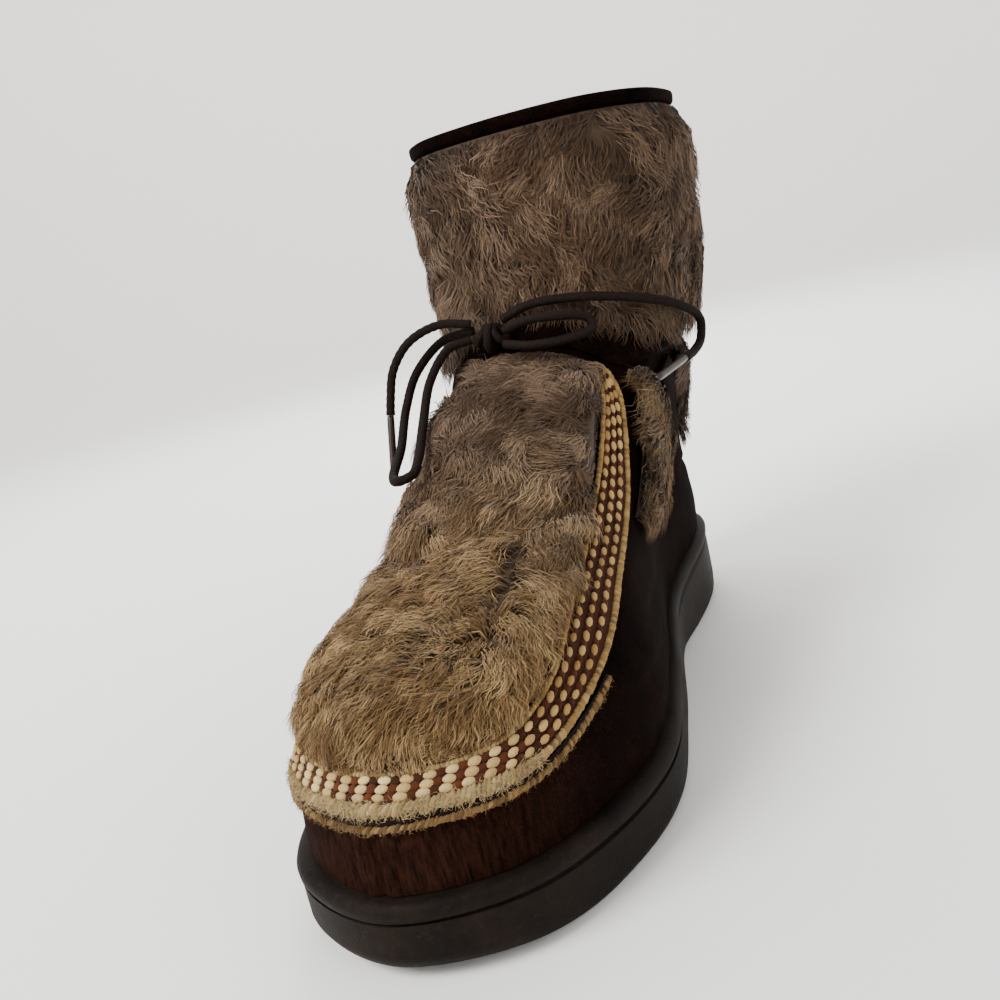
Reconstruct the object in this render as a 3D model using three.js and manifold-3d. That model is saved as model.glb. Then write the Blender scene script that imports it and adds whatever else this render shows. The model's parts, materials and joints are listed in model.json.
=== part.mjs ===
// Mukluk boot for the right foot: rubber wedge sole, suede foot, sheepskin panels, woven braid and ankle tie.
// Millimetres, +Z up, toe towards -Y, inner side of the foot towards +X, floor at z = 0.
// The origin lies on the floor under the middle of the heel.

import * as THREE from 'three';
import { mergeVertices } from 'three/addons/utils/BufferGeometryUtils.js';
import Module from 'manifold-3d';

// Driving dimensions of the sole
const SOLE_LENGTH = 277;
const HEEL_BACK = 39;
const BALL_WIDTH = 104;
const WAIST_WIDTH = 75;
const HEEL_WIDTH = 67;
const FOREFOOT_THICKNESS = 19;
const HEEL_THICKNESS = 29;
const TOE_SPRING = 4;
const ARCH_RISE = 3;
const EDGE_BEVEL = 2.4;
const LIP_HEIGHT = 4.4;
const LIP_GROOVE = 1.3;
const TREAD_DEPTH = 2;
const TREAD_BAR = 9;
const TREAD_GAP = 5;
const TREAD_BORDER = 9;

// Driving dimensions of the upper
const FEATHER_INSET = 3.6;
const ANKLE_HEIGHT = 117;
const COLLAR_HEIGHT = 198;
const ANKLE_WIDTH = 80;
const WALL = 2.2;
const SEAM_RELIEF = 0.7;
const INSOLE_THICKNESS = 4;

// Driving dimensions of the trim
const PILE = 9;
const PILE_EDGE = 4.5;
const SHAFT_PILE = 8;
const BRAID_THICKNESS = 1.6;
const BRAID_CORD = 2.4;
const TAPE_THICKNESS = 1;
const STRAP_THICKNESS = 1.9;
const STRAP_RISE = 0.8;
const BINDING_THICKNESS = 1.6;
const LOCK_LENGTH = 19;
const LOCK_WIDTH = 11;
const LOCK_THICKNESS = 5;

// Driving dimensions of the lace
const LACE_DIAMETER = 3.2;
const AGLET_DIAMETER = 2.6;
const KNOT_SIZE = 7;

// Distance between pieces that meet
const GAP = 0.3;

// Numbers of points round and up the boot
const ROUND = 40;

const TOE = HEEL_BACK - SOLE_LENGTH;
const wasm = await Module();
wasm.setup();

const mix = (a, b, t) => a + (b - a) * t;
const clamp = (t) => Math.min(1, Math.max(0, t));
const ease = (from, to, t) => {
  const s = clamp((t - from) / (to - from));
  return s * s * (3 - 2 * s);
};
const bump = (from, to, t) => ease(from, (from + to) / 2, t) - ease((from + to) / 2, to, t);
const along = (y) => (y - TOE) / SOLE_LENGTH;

// Smooth value between b and c at a share t, with a before and d after them.
function catmull(a, b, c, d, t) {
  return b + 0.5 * t * (c - a + t * (2 * a - 5 * b + 4 * c - d + t * (3 * (b - c) + d - a)));
}

// Smooth value between the rows of a table, at a row number that need not be whole.
function between(rows, column, at) {
  const k = Math.min(rows.length - 2, Math.max(0, Math.floor(at)));
  const t = at - k;
  const value = (i) => rows[Math.min(rows.length - 1, Math.max(0, i))][column];
  return catmull(value(k - 1), value(k), value(k + 1), value(k + 2), t);
}

// Outline of the last at stations from toe to heel: place along the sole, full width and middle of the width.
const LAST = [
  { along: 0.045, width: 0.545 * BALL_WIDTH, middle: 0.04 * BALL_WIDTH },
  { along: 0.14, width: 0.835 * BALL_WIDTH, middle: 0.032 * BALL_WIDTH },
  { along: 0.28, width: BALL_WIDTH, middle: 0.017 * BALL_WIDTH },
  { along: 0.45, width: 0.9 * BALL_WIDTH, middle: -0.017 * BALL_WIDTH },
  { along: 0.64, width: WAIST_WIDTH, middle: -0.064 * WAIST_WIDTH },
  { along: 0.85, width: HEEL_WIDTH, middle: -0.052 * HEEL_WIDTH },
  { along: 0.96, width: 0.69 * HEEL_WIDTH, middle: -0.045 * HEEL_WIDTH },
];
const TOE_MIDDLE = 0.048 * BALL_WIDTH;
const HEEL_MIDDLE = -0.045 * HEEL_WIDTH;

// Height of the sole's underside and of its top edge.
const ground = (y) => TOE_SPRING * (1 - ease(-0.02, 0.15, along(y))) + ARCH_RISE * bump(0.42, 0.76, along(y));
function soleTop(y) {
  const wedge = ease(0.3, 0.9, along(y));
  const spring = 0.5 * TOE_SPRING * (1 - ease(0, 0.2, along(y)));
  return mix(FOREFOOT_THICKNESS, HEEL_THICKNESS, wedge) + spring;
}

// Closed smooth curve through points, at a share u of the way round.
function loopPoint(points, u) {
  const count = points.length;
  const place = (u - Math.floor(u)) * count;
  const k = Math.floor(place);
  const t = place - k;
  const at = (i) => points[(i + count) % count];
  const [a, b, c, d] = [at(k - 1), at(k), at(k + 1), at(k + 2)];
  const axis = (n) => catmull(a[n], b[n], c[n], d[n], t);
  return new THREE.Vector3(axis(0), axis(1), axis(2));
}

// Points of one ring round the last: front, seven stations on the inner side, back, seven on the outer side.
function ringPoints(front, back, stations) {
  const inner = stations.map((s) => [s.middle + s.half, mix(front.y, back.y, s.along), s.z]);
  const outer = stations.map((s) => [s.middle - s.half, mix(front.y, back.y, s.along), s.z]).reverse();
  return [[front.x, front.y, front.z], ...inner, [back.x, back.y, back.z], ...outer];
}

// Sole outline at a share u of the way round, moved inwards.
const OUTLINE = ringPoints(
  { x: TOE_MIDDLE, y: TOE, z: 0 },
  { x: HEEL_MIDDLE, y: HEEL_BACK, z: 0 },
  LAST.map((row) => ({ along: row.along, half: row.width / 2, middle: row.middle, z: 0 })),
);
function outline(u, inset) {
  const step = 0.002;
  const point = loopPoint(OUTLINE, u);
  const way = loopPoint(OUTLINE, u + step).sub(loopPoint(OUTLINE, u - step));
  return point.add(new THREE.Vector3(-way.y, way.x, 0).normalize().multiplyScalar(inset));
}

// Rings of the upper, from the feather line at the sole to the collar.
// front, back: place along the sole. rise, heel: height, 0 at the sole, 1 at the ankle and 2 at the collar.
// spread: width as a share of the last. girth: width as a share of the ankle. round: 0 last, 1 ankle.
const RINGS = [
  { front: 0.014, rise: 0, back: 0.987, heel: 0, spread: 0.93, girth: 1, round: 0, swing: 1 },
  { front: 0.017, rise: 0.124, back: 0.988, heel: 0.125, spread: 0.945, girth: 1, round: 0, swing: 1 },
  { front: 0.03, rise: 0.216, back: 0.986, heel: 0.24, spread: 0.925, girth: 1, round: 0.04, swing: 1 },
  { front: 0.054, rise: 0.3, back: 0.985, heel: 0.33, spread: 0.88, girth: 1, round: 0.1, swing: 0.95 },
  { front: 0.094, rise: 0.371, back: 0.984, heel: 0.41, spread: 0.83, girth: 0.99, round: 0.2, swing: 0.9 },
  { front: 0.148, rise: 0.423, back: 0.983, heel: 0.477, spread: 0.78, girth: 0.97, round: 0.35, swing: 0.8 },
  { front: 0.217, rise: 0.474, back: 0.982, heel: 0.545, spread: 0.74, girth: 0.95, round: 0.5, swing: 0.7 },
  { front: 0.292, rise: 0.541, back: 0.982, heel: 0.614, spread: 0.71, girth: 0.93, round: 0.65, swing: 0.6 },
  { front: 0.372, rise: 0.639, back: 0.982, heel: 0.693, spread: 0.7, girth: 0.92, round: 0.8, swing: 0.5 },
  { front: 0.451, rise: 0.763, back: 0.982, heel: 0.784, spread: 0.7, girth: 0.93, round: 0.9, swing: 0.4 },
  { front: 0.523, rise: 0.887, back: 0.982, heel: 0.886, spread: 0.7, girth: 0.96, round: 1, swing: 0.3 },
  { front: 0.585, rise: 1, back: 0.982, heel: 1, spread: 0.7, girth: 1, round: 1, swing: 0.2 },
  { front: 0.625, rise: 1.157, back: 0.984, heel: 1.13, spread: 0.7, girth: 1.03, round: 1, swing: 0.1 },
  { front: 0.643, rise: 1.337, back: 0.986, heel: 1.3, spread: 0.7, girth: 1.07, round: 1, swing: 0 },
  { front: 0.65, rise: 1.578, back: 0.99, heel: 1.54, spread: 0.7, girth: 1.12, round: 1, swing: 0 },
  { front: 0.653, rise: 1.807, back: 0.993, heel: 1.78, spread: 0.7, girth: 1.15, round: 1, swing: 0 },
  { front: 0.653, rise: 2, back: 0.995, heel: 1.976, spread: 0.7, girth: 1.17, round: 1, swing: 0 },
];
const TOP = RINGS.length - 1;
const FULLNESS = 2.4;
const roundHalf = (t) => (1 - Math.abs(2 * t - 1) ** FULLNESS) ** (1 / FULLNESS);

// Height of a rise above the floor: 0 to 1 from the sole to the ankle, 1 to 2 from the ankle to the collar.
function height(rise, y) {
  const foot = mix(soleTop(y) + GAP, ANKLE_HEIGHT, Math.min(rise, 1));
  return foot + Math.max(rise - 1, 0) * (COLLAR_HEIGHT - ANKLE_HEIGHT);
}

const ringCache = new Map();
function ring(v) {
  if (ringCache.has(v)) return ringCache.get(v);
  const row = {};
  for (const column of Object.keys(RINGS[0])) row[column] = between(RINGS, column, v);
  const front = { x: TOE_MIDDLE * row.swing, y: TOE + row.front * SOLE_LENGTH };
  const back = { x: HEEL_MIDDLE * row.swing, y: TOE + row.back * SOLE_LENGTH };
  front.z = height(row.rise, front.y);
  back.z = height(row.heel, back.y);
  const stations = LAST.map((last) => {
    const y = mix(front.y, back.y, last.along);
    const oval = row.girth * roundHalf(last.along) * ANKLE_WIDTH;
    const half = mix(row.spread * last.width, oval, row.round) / 2;
    const z = height(mix(row.rise, row.heel, last.along), y);
    return { along: last.along, half, middle: last.middle * row.swing, z };
  });
  const points = ringPoints(front, back, stations);
  ringCache.set(v, points);
  return points;
}

// Outer face of the upper at a share u of the way round from the toe over the inner side, and ring number v.
const skin = (u, v) => loopPoint(ring(v), u);
function skinNormal(u, v) {
  const step = 0.004;
  const low = Math.max(v - 0.05, 0);
  const high = Math.min(v + 0.05, TOP);
  const round = skin(u + step, v).sub(skin(u - step, v));
  const up = skin(u, high).sub(skin(u, low));
  const normal = round.cross(up);
  if (v < 0.5) normal.z = 0;
  return normal.normalize();
}
const surface = (u, v, offset) => skin(u, v).addScaledVector(skinNormal(u, v), offset);

// Closed body between an outer and an inner grid of points, as a ring or as a patch.
function shell(across, up, ringed, outer, inner) {
  const columns = ringed ? across : across + 1;
  const points = [];
  for (const face of [outer, inner]) {
    for (let j = 0; j <= up; j += 1) {
      for (let i = 0; i < columns; i += 1) points.push(face(i / across, j / up));
    }
  }
  const side = columns * (up + 1);
  const at = (i, j, face) => face * side + j * columns + (i % columns);
  const faces = [];
  const quad = (a, b, c, d) => faces.push([a, b, c], [a, c, d]);
  for (let j = 0; j < up; j += 1) {
    for (let i = 0; i < across; i += 1) {
      quad(at(i, j, 0), at(i + 1, j, 0), at(i + 1, j + 1, 0), at(i, j + 1, 0));
      quad(at(i, j, 1), at(i, j + 1, 1), at(i + 1, j + 1, 1), at(i + 1, j, 1));
    }
    if (!ringed) {
      quad(at(0, j, 0), at(0, j + 1, 0), at(0, j + 1, 1), at(0, j, 1));
      quad(at(across, j, 0), at(across, j, 1), at(across, j + 1, 1), at(across, j + 1, 0));
    }
  }
  for (let i = 0; i < across; i += 1) {
    quad(at(i, 0, 0), at(i, 0, 1), at(i + 1, 0, 1), at(i + 1, 0, 0));
    quad(at(i, up, 0), at(i + 1, up, 0), at(i + 1, up, 1), at(i, up, 1));
  }
  return meshOf(points, faces);
}

// Closed body of stacked loops, each with the same number of points, with a flat cap at both ends.
// A cap joins points that lie opposite each other across the middle.
function stack(loops) {
  const count = loops[0].length;
  const points = loops.flat();
  const faces = [];
  for (let j = 0; j + 1 < loops.length; j += 1) {
    for (let i = 0; i < count; i += 1) {
      const [a, b] = [j * count + i, j * count + ((i + 1) % count)];
      faces.push([a, b, b + count], [a, b + count, a + count]);
    }
  }
  const last = (loops.length - 1) * count;
  for (let i = 0; i < count / 2; i += 1) {
    const [a, b, c, d] = [i, i + 1, (count - i - 1) % count, (count - i) % count];
    if (i > 0) faces.push([d, b, a], [last + a, last + b, last + d]);
    if (i + 1 < count / 2) faces.push([d, c, b], [last + b, last + c, last + d]);
  }
  return meshOf(points, faces);
}

function meshOf(points, faces) {
  const geometry = new THREE.BufferGeometry();
  const numbers = points.flatMap((p) => [p.x, p.y, p.z]);
  geometry.setAttribute('position', new THREE.Float32BufferAttribute(numbers, 3));
  geometry.setIndex(faces.flat());
  return geometry;
}

// Solids for cuts and joins, and back to a geometry.
function solidOf(geometry) {
  const bare = geometry.clone();
  bare.deleteAttribute('normal');
  bare.deleteAttribute('uv');
  const merged = mergeVertices(bare, 1e-4);
  const mesh = new wasm.Mesh({
    numProp: 3,
    vertProperties: Float32Array.from(merged.attributes.position.array),
    triVerts: Uint32Array.from(merged.index.array),
  });
  mesh.merge();
  return new wasm.Manifold(mesh);
}
function geometryOf(solid) {
  const mesh = solid.getMesh();
  const geometry = new THREE.BufferGeometry();
  geometry.setAttribute('position', new THREE.Float32BufferAttribute(mesh.vertProperties, 3));
  geometry.setIndex([...mesh.triVerts]);
  return geometry;
}

// Sole: wall from the floor to the lip, then the top.
// up is a share of the height, lift a distance from there and inset the distance inside the outline.
const SOLE_WALL = [
  { up: 0, lift: 0, inset: EDGE_BEVEL },
  { up: 0, lift: EDGE_BEVEL, inset: 0.2 * EDGE_BEVEL },
  { up: 0.5, lift: 0, inset: 0 },
  { up: 1, lift: -1.45 * LIP_HEIGHT, inset: 0.2 },
  { up: 1, lift: -1.22 * LIP_HEIGHT, inset: LIP_GROOVE },
  { up: 1, lift: -LIP_HEIGHT, inset: 0 },
  { up: 1, lift: -0.5 * LIP_HEIGHT, inset: -0.35 },
  { up: 1, lift: -0.1 * LIP_HEIGHT, inset: 0.3 * FEATHER_INSET },
  { up: 1, lift: 0, inset: 0.6 * FEATHER_INSET },
];
function soleLoop(inset, heightAt) {
  const loop = [];
  for (let i = 0; i < ROUND; i += 1) {
    const point = outline(i / ROUND, inset);
    point.z = heightAt(point.y);
    loop.push(point);
  }
  return loop;
}

// Tread: cross grooves inside a plain border, so that bars stand between them.
function treadGrooves() {
  const low = -TREAD_DEPTH;
  const prism = solidOf(stack([
    soleLoop(TREAD_BORDER, () => low),
    soleLoop(TREAD_BORDER, (y) => ground(y) + TREAD_DEPTH),
  ]));
  const pitch = TREAD_BAR + TREAD_GAP;
  let grooves = null;
  for (const [from, to] of [[0.1, 0.46], [0.74, 0.97]]) {
    const start = TOE + from * SOLE_LENGTH;
    const end = TOE + to * SOLE_LENGTH;
    for (let y = start; y < end; y += pitch) {
      const box = new THREE.BoxGeometry(2 * BALL_WIDTH, TREAD_GAP, 4 * TREAD_DEPTH + 4 * TOE_SPRING);
      box.translate(0, y, 0);
      const groove = solidOf(box).intersect(prism);
      grooves = grooves ? grooves.add(groove) : groove;
    }
  }
  return grooves;
}

function makeOutsole() {
  const loops = SOLE_WALL.map((row) =>
    soleLoop(row.inset, (y) => mix(ground(y), soleTop(y), row.up) + row.lift));
  return geometryOf(solidOf(stack(loops)).subtract(treadGrooves()));
}

// Footbed inside the upper, with a rounded top edge.
function makeInsole() {
  const edge = FEATHER_INSET + WALL + SEAM_RELIEF + GAP;
  const rows = [
    { inset: edge, lift: GAP },
    { inset: edge, lift: GAP + 0.7 * INSOLE_THICKNESS },
    { inset: edge + 1.2, lift: GAP + INSOLE_THICKNESS },
  ];
  return stack(rows.map((row) => soleLoop(row.inset, (y) => soleTop(y) + row.lift)));
}

// Upper: one hollow wall, open at the collar and underneath, with the butted seam up the middle of the toe.
function seamRelief(u, v) {
  const fade = 1 - ease(1.6, 2.4, v);
  const turn = Math.abs(u - Math.round(u)) * ROUND;
  if (turn < 0.5) return -SEAM_RELIEF * fade;
  return turn < 1.5 ? 0.6 * SEAM_RELIEF * fade : 0;
}
function wallPoint(u, v, offset) {
  const point = surface(u, v, offset);
  if (v === 0) point.z = soleTop(point.y) + GAP;
  return point;
}
function makeUpper() {
  const outer = (u, t) => wallPoint(u, t * TOP, seamRelief(u, t * TOP));
  const inner = (u, t) => wallPoint(u, t * TOP, -WALL);
  return shell(ROUND, TOP, true, outer, inner);
}

// The body of the upper grown by the gap: trim is cut back to it, so that it lies just clear of the wall.
function grownUpper() {
  const loops = [];
  for (let j = 0; j <= TOP; j += 1) {
    const loop = [];
    for (let i = 0; i < ROUND; i += 1) {
      const u = i / ROUND;
      loop.push(wallPoint(u, j, GAP + Math.max(0, seamRelief(u, j))));
    }
    loops.push(loop);
  }
  return solidOf(stack(loops));
}
const core = grownUpper();
const SINK = 1.2;
const SLIVER = 0.02;
const THIN_GAP = 0.45;

// Trim patch: place gives the ring position for shares across and up, and rise its thickness there.
// Round positions are in stations: 0 at the toe, 3 at the ball, 8 at the back, negative on the outer side.
const STATIONS = 16;
function patch(across, up, place, rise) {
  const outer = (a, b) => surface(place(a, b).u / STATIONS, place(a, b).v, rise(a, b) + GAP);
  const inner = (a, b) => surface(place(a, b).u / STATIONS, place(a, b).v, -SINK);
  return solidOf(shell(across, up, false, outer, inner));
}
function band(across, up, place, rise) {
  const outer = (a, b) => surface(a, place(a, b), rise(a, b) + GAP);
  const inner = (a, b) => surface(a, place(a, b), -SINK);
  return solidOf(shell(across, up, true, outer, inner));
}
// Thin trim keeps its own inner face, which lies a little further out than the gap.
function thinPatch(across, up, place, rise) {
  const at = (a, b, offset) => surface(place(a, b).u / STATIONS, place(a, b).v, offset);
  return shell(across, up, false, (a, b) => at(a, b, rise(a, b) + THIN_GAP), (a, b) => at(a, b, THIN_GAP));
}
function thinBand(place, thickness) {
  const at = (a, b, offset) => surface(a, place(a, b), offset);
  return shell(ROUND, 1, true, (a, b) => at(a, b, thickness + THIN_GAP), (a, b) => at(a, b, THIN_GAP));
}
const seated = (solid) => geometryOf(solid.subtract(core).simplify(SLIVER));

// Repeatable scatter between -1 and 1.
let seed = 7;
function scatter() {
  seed = (seed * 16807) % 2147483647;
  return (2 * seed) / 2147483647 - 1;
}

// A lock of fleece: a tapered tuft that starts inside the pile and whose tip stands a little out of it.
function lock(u, v, depth, size, turn) {
  const normal = skinNormal(u, v);
  const down = skin(u, v - 0.1).sub(skin(u, v + 0.1)).normalize();
  const side = normal.clone().cross(down);
  const way = down.multiplyScalar(Math.cos(turn)).addScaledVector(side, Math.sin(turn)).normalize();
  const wide = normal.clone().cross(way).normalize();
  const root = skin(u, v);
  const length = LOCK_LENGTH * size;
  const drop = (length * length) / 90;
  const spine = [
    { far: 0, lift: depth - LOCK_THICKNESS * 0.55, half: 0.3 },
    { far: 0.45 * length, lift: depth - 0.3 - drop * 0.2, half: 0.5 },
  ];
  const points = [];
  for (const row of spine) {
    const middle = root.clone().addScaledVector(way, row.far).addScaledVector(normal, row.lift);
    for (const [across, high] of [[1, 0], [0, 1], [-1, 0], [0, -1]]) {
      points.push(middle.clone()
        .addScaledVector(wide, across * row.half * LOCK_WIDTH * size)
        .addScaledVector(normal, high * row.half * LOCK_THICKNESS));
    }
  }
  points.push(root.clone().addScaledVector(way, length).addScaledVector(normal, depth + 0.3 - drop));
  const faces = [[0, 2, 1], [0, 3, 2]];
  for (let i = 0; i < 4; i += 1) {
    const next = (i + 1) % 4;
    faces.push([i, next, next + 4], [i, next + 4, i + 4], [i + 4, next + 4, 8]);
  }
  return outward(points, faces);
}
function outward(points, faces) {
  const volume = faces.reduce((sum, [a, b, c]) => sum + points[a].dot(points[b].clone().cross(points[c])), 0);
  return solidOf(meshOf(points, volume > 0 ? faces : faces.map(([a, b, c]) => [a, c, b])));
}

// Pile height: low at the border of a panel, full inside, with a slow swell from clump to clump.
const swell = (a, b) => 0.7 * Math.sin(9 * a + 2) * Math.sin(11 * b + 1);
function pile(full, border) {
  return mix(PILE_EDGE, full, ease(0, 0.3, border));
}

// Edges of the braid round the vamp, in stations and rings, from the middle of the toe up to the ankle.
const BRAID = [
  { outer: 0, low: 1.75, inner: 0, high: 2.62 },
  { outer: 0.45, low: 1.75, inner: 0.38, high: 2.56 },
  { outer: 1.07, low: 1.75, inner: 0.86, high: 2.6 },
  { outer: 1.64, low: 2, inner: 1.34, high: 2.88 },
  { outer: 2.29, low: 2.75, inner: 1.76, high: 3.55 },
  { outer: 2.71, low: 3.75, inner: 1.98, high: 4.5 },
  { outer: 2.98, low: 5.3, inner: 2.08, high: 5.8 },
  { outer: 2.95, low: 6.9, inner: 2.07, high: 7.1 },
  { outer: 2.62, low: 8.4, inner: 1.98, high: 8.4 },
  { outer: 2.2, low: 9.5, inner: 1.72, high: 9.6 },
  { outer: 1.62, low: 10.25, inner: 1.3, high: 10.4 },
];
const BRAID_END = BRAID.length - 1;
const SIDE_ROW = 5;
// Lower edge of the ankle strap, in rings: it dips at the sides and rises to the knot at the front.
const fromFront = (u) => Math.abs(u - Math.round(u)) * STATIONS;
const strapLow = (u) => 10.2 + 1.1 * (1 - ease(0, 2.4, fromFront(u)));
const STRAP_CLEAR = 0.12;

// Half width of the vamp plug, in stations, at a ring above the toe.
function plugHalf(v) {
  for (let k = SIDE_ROW; k < BRAID_END; k += 1) {
    const [low, high] = [BRAID[k], BRAID[k + 1]];
    if (v <= high.high) return mix(low.inner, high.inner, clamp((v - low.high) / (high.high - low.high)));
  }
  return BRAID[BRAID_END].inner;
}
const PLUG_CLEAR = 0.12;
function vampPlace(a, b) {
  const row = Math.abs(a) * SIDE_ROW;
  const base = { u: between(BRAID, 'inner', row), v: between(BRAID, 'high', row) + PLUG_CLEAR };
  const share = base.u / BRAID[SIDE_ROW].inner;
  const top = strapLow((share * BRAID[BRAID_END].inner) / STATIONS) - STRAP_CLEAR;
  const v = mix(base.v, top, b);
  return { u: Math.sign(a) * share * (plugHalf(v) - PLUG_CLEAR), v };
}

function makeVampFur() {
  const centred = (a, b) => vampPlace(2 * a - 1, b);
  const rise = (a, b) => {
    const border = Math.min(1.6 * (1 - Math.abs(2 * a - 1)), 3 * b, 4 * (1 - b));
    return pile(PILE, border) + swell(a, b) * ease(0, 0.4, border);
  };
  let fur = patch(12, 10, centred, rise);
  for (let k = 0; k < 6; k += 1) {
    const b = 0.22 + 0.14 * k;
    const count = k < 3 ? 5 : 4;
    for (let i = 0; i < count; i += 1) {
      const a = (i + 0.5 + 0.22 * (k % 2 ? 1 : -1)) / count;
      const { u, v } = centred(a, b);
      fur = fur.add(lock(u / STATIONS, v, rise(a, b), 1 + 0.2 * scatter(), 0.7 * scatter()));
    }
  }
  return seated(fur);
}

// Side panel of fleece between the braid and the heel strap. side is 1 on the inner side and -1 on the outer.
const QUARTER = [
  { front: 3.38, low: 5.7, back: 5.05, high: 3.5 },
  { front: 3.4, low: 7.2, back: 5.3, high: 5.4 },
  { front: 2.98, low: 8.8, back: 4.45, high: 7.8 },
  { front: 2.25, low: 10.08, back: 2.95, high: 9.95 },
];
function quarterPlace(side, a, b) {
  const row = b * (QUARTER.length - 1);
  const front = between(QUARTER, 'front', row);
  const back = between(QUARTER, 'back', row);
  const v = mix(between(QUARTER, 'low', row), between(QUARTER, 'high', row), a);
  return { u: side * mix(front, back, a), v };
}
function makeQuarterFur(side) {
  const place = (a, b) => quarterPlace(side, side > 0 ? a : 1 - a, b);
  const rise = (a, b) => pile(SHAFT_PILE, 2 * Math.min(a, 1 - a, b, 1 - b)) + 0.5 * swell(a, b);
  let fur = patch(5, 5, place, rise);
  for (let k = 0; k < 3; k += 1) {
    for (let i = 0; i < 2; i += 1) {
      const [a, b] = [0.3 + 0.36 * i + 0.1 * (k % 2), 0.32 + 0.24 * k];
      const { u, v } = place(a, b);
      fur = fur.add(lock(u / STATIONS, v, rise(a, b) - 0.6, 0.85 + 0.12 * scatter(), 0.5 * scatter()));
    }
  }
  return seated(fur);
}

// Fleece over the back of the ankle, between the two heel straps.
const HEEL_FUR = [
  { edge: 6.45, ring: 4.6 },
  { edge: 6.35, ring: 6.2 },
  { edge: 5.75, ring: 8.3 },
  { edge: 4.6, ring: 10.02 },
];
function heelFurPlace(a, b) {
  const row = b * (HEEL_FUR.length - 1);
  const edge = between(HEEL_FUR, 'edge', row);
  return { u: mix(edge, STATIONS - edge, a), v: between(HEEL_FUR, 'ring', row) };
}
function makeHeelFur() {
  const rise = (a, b) => pile(SHAFT_PILE, 2.4 * Math.min(a, 1 - a, b, 1 - b)) + 0.5 * swell(a, b);
  let fur = patch(6, 5, heelFurPlace, rise);
  for (let k = 0; k < 2; k += 1) {
    for (let i = 0; i < 3; i += 1) {
      const [a, b] = [0.2 + 0.27 * i + 0.06 * (k % 2), 0.4 + 0.3 * k];
      const { u, v } = heelFurPlace(a, b);
      fur = fur.add(lock(u / STATIONS, v, rise(a, b) - 0.6, 0.85 + 0.12 * scatter(), 0.5 * scatter()));
    }
  }
  return seated(fur);
}

// Fleece round the shaft above the ankle strap.
const SHAFT_FUR_TOP = TOP - 0.42;
function makeShaftFur() {
  const start = (u) => strapLow(u) + STRAP_RISE + STRAP_CLEAR;
  const place = (a, b) => mix(start(a), SHAFT_FUR_TOP, b);
  const waves = (a, b) => 0.6 * Math.sin(9 * 2 * Math.PI * a) * Math.sin(9 * b);
  const rise = (a, b) => pile(SHAFT_PILE, 4 * Math.min(b, 1 - b)) + waves(a, b);
  let fur = band(28, 4, place, rise);
  for (let k = 0; k < 2; k += 1) {
    const count = 7;
    for (let i = 0; i < count; i += 1) {
      const [a, b] = [(i + 0.5 * (k % 2)) / count, 0.4 + 0.32 * k];
      fur = fur.add(lock(a, place(a, b), rise(a, b) - 0.5, 1 + 0.15 * scatter(), 0.5 * scatter()));
    }
  }
  return seated(fur);
}

// Woven braid along the border of the vamp: three flat rows and a thick cord along the outer edge.
const BRAID_SHARE = [1, 0.72, 0.4, 0];
const BRAID_RISE = [0.8 * BRAID_CORD, BRAID_CORD, BRAID_THICKNESS, BRAID_THICKNESS];
function braidPlace(a, b) {
  const row = Math.abs(2 * a - 1) * BRAID_END;
  const sign = a < 0.5 ? -1 : 1;
  const share = between(BRAID_SHARE.map((value) => ({ value })), 'value', b * (BRAID_SHARE.length - 1));
  return {
    u: sign * mix(between(BRAID, 'inner', row), between(BRAID, 'outer', row), share),
    v: mix(between(BRAID, 'high', row), between(BRAID, 'low', row), share),
  };
}
function makeBraid() {
  const rise = (a, b) => BRAID_RISE[Math.round(b * (BRAID_RISE.length - 1))];
  return thinPatch(48, 3, braidPlace, rise);
}

// Thin tape under the braid, which ends at a row of the braid's table on each side.
// Its width and clearances are in rings and stations.
const TAPE_END = 4;
const TAPE_TOE_WIDTH = 0.36;
const TAPE_END_WIDTH = 0.2;
const TAPE_DRIFT = 0.06;
const TAPE_CLEAR = 0.07;
function makeTape() {
  const place = (a, b) => {
    const row = Math.abs(2 * a - 1) * TAPE_END;
    const sign = a < 0.5 ? -1 : 1;
    const width = mix(TAPE_TOE_WIDTH, TAPE_END_WIDTH, row / TAPE_END);
    const top = between(BRAID, 'low', row) - TAPE_CLEAR;
    const u = between(BRAID, 'outer', row) + TAPE_DRIFT * Math.max(row - 2, 0);
    return { u: sign * u, v: mix(top - width, top, b) };
  };
  return thinPatch(34, 1, place, () => TAPE_THICKNESS);
}

// Suede strap that rises from the heel to the ankle strap on one side.
const HEEL_STRAP_HALF = 0.3;
const HEEL_STRAP = [
  { u: 5.85, v: 3.4 },
  { u: 5.88, v: 5.6 },
  { u: 5.35, v: 7.9 },
  { u: 4.4, v: 9.2 },
  { u: 3.66, v: 9.78 },
];
function makeHeelStrap(side) {
  const last = HEEL_STRAP.length - 1;
  const half = HEEL_STRAP_HALF;
  const place = (a, b) => {
    const u = between(HEEL_STRAP, 'u', b * last) + (a - 0.5) * 2 * half * (1 - 0.25 * b);
    return { u: side * u, v: between(HEEL_STRAP, 'v', b * last) + (a - 0.5) * 0.5 * b };
  };
  const rise = (a) => STRAP_THICKNESS * (a === 0.5 ? 1 : 0.75);
  return seated(patch(2, 7, (a, b) => place(side > 0 ? a : 1 - a, b), rise));
}

// Suede band round the ankle.
function makeAnkleStrap() {
  const place = (a, b) => strapLow(a) + b * STRAP_RISE;
  return seated(band(ROUND, 1, place, () => STRAP_THICKNESS));
}

// Binding round the collar.
function makeBinding() {
  const low = SHAFT_FUR_TOP + 0.06;
  return thinBand((a, b) => mix(low, TOP - 0.02, b), BINDING_THICKNESS);
}

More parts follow.
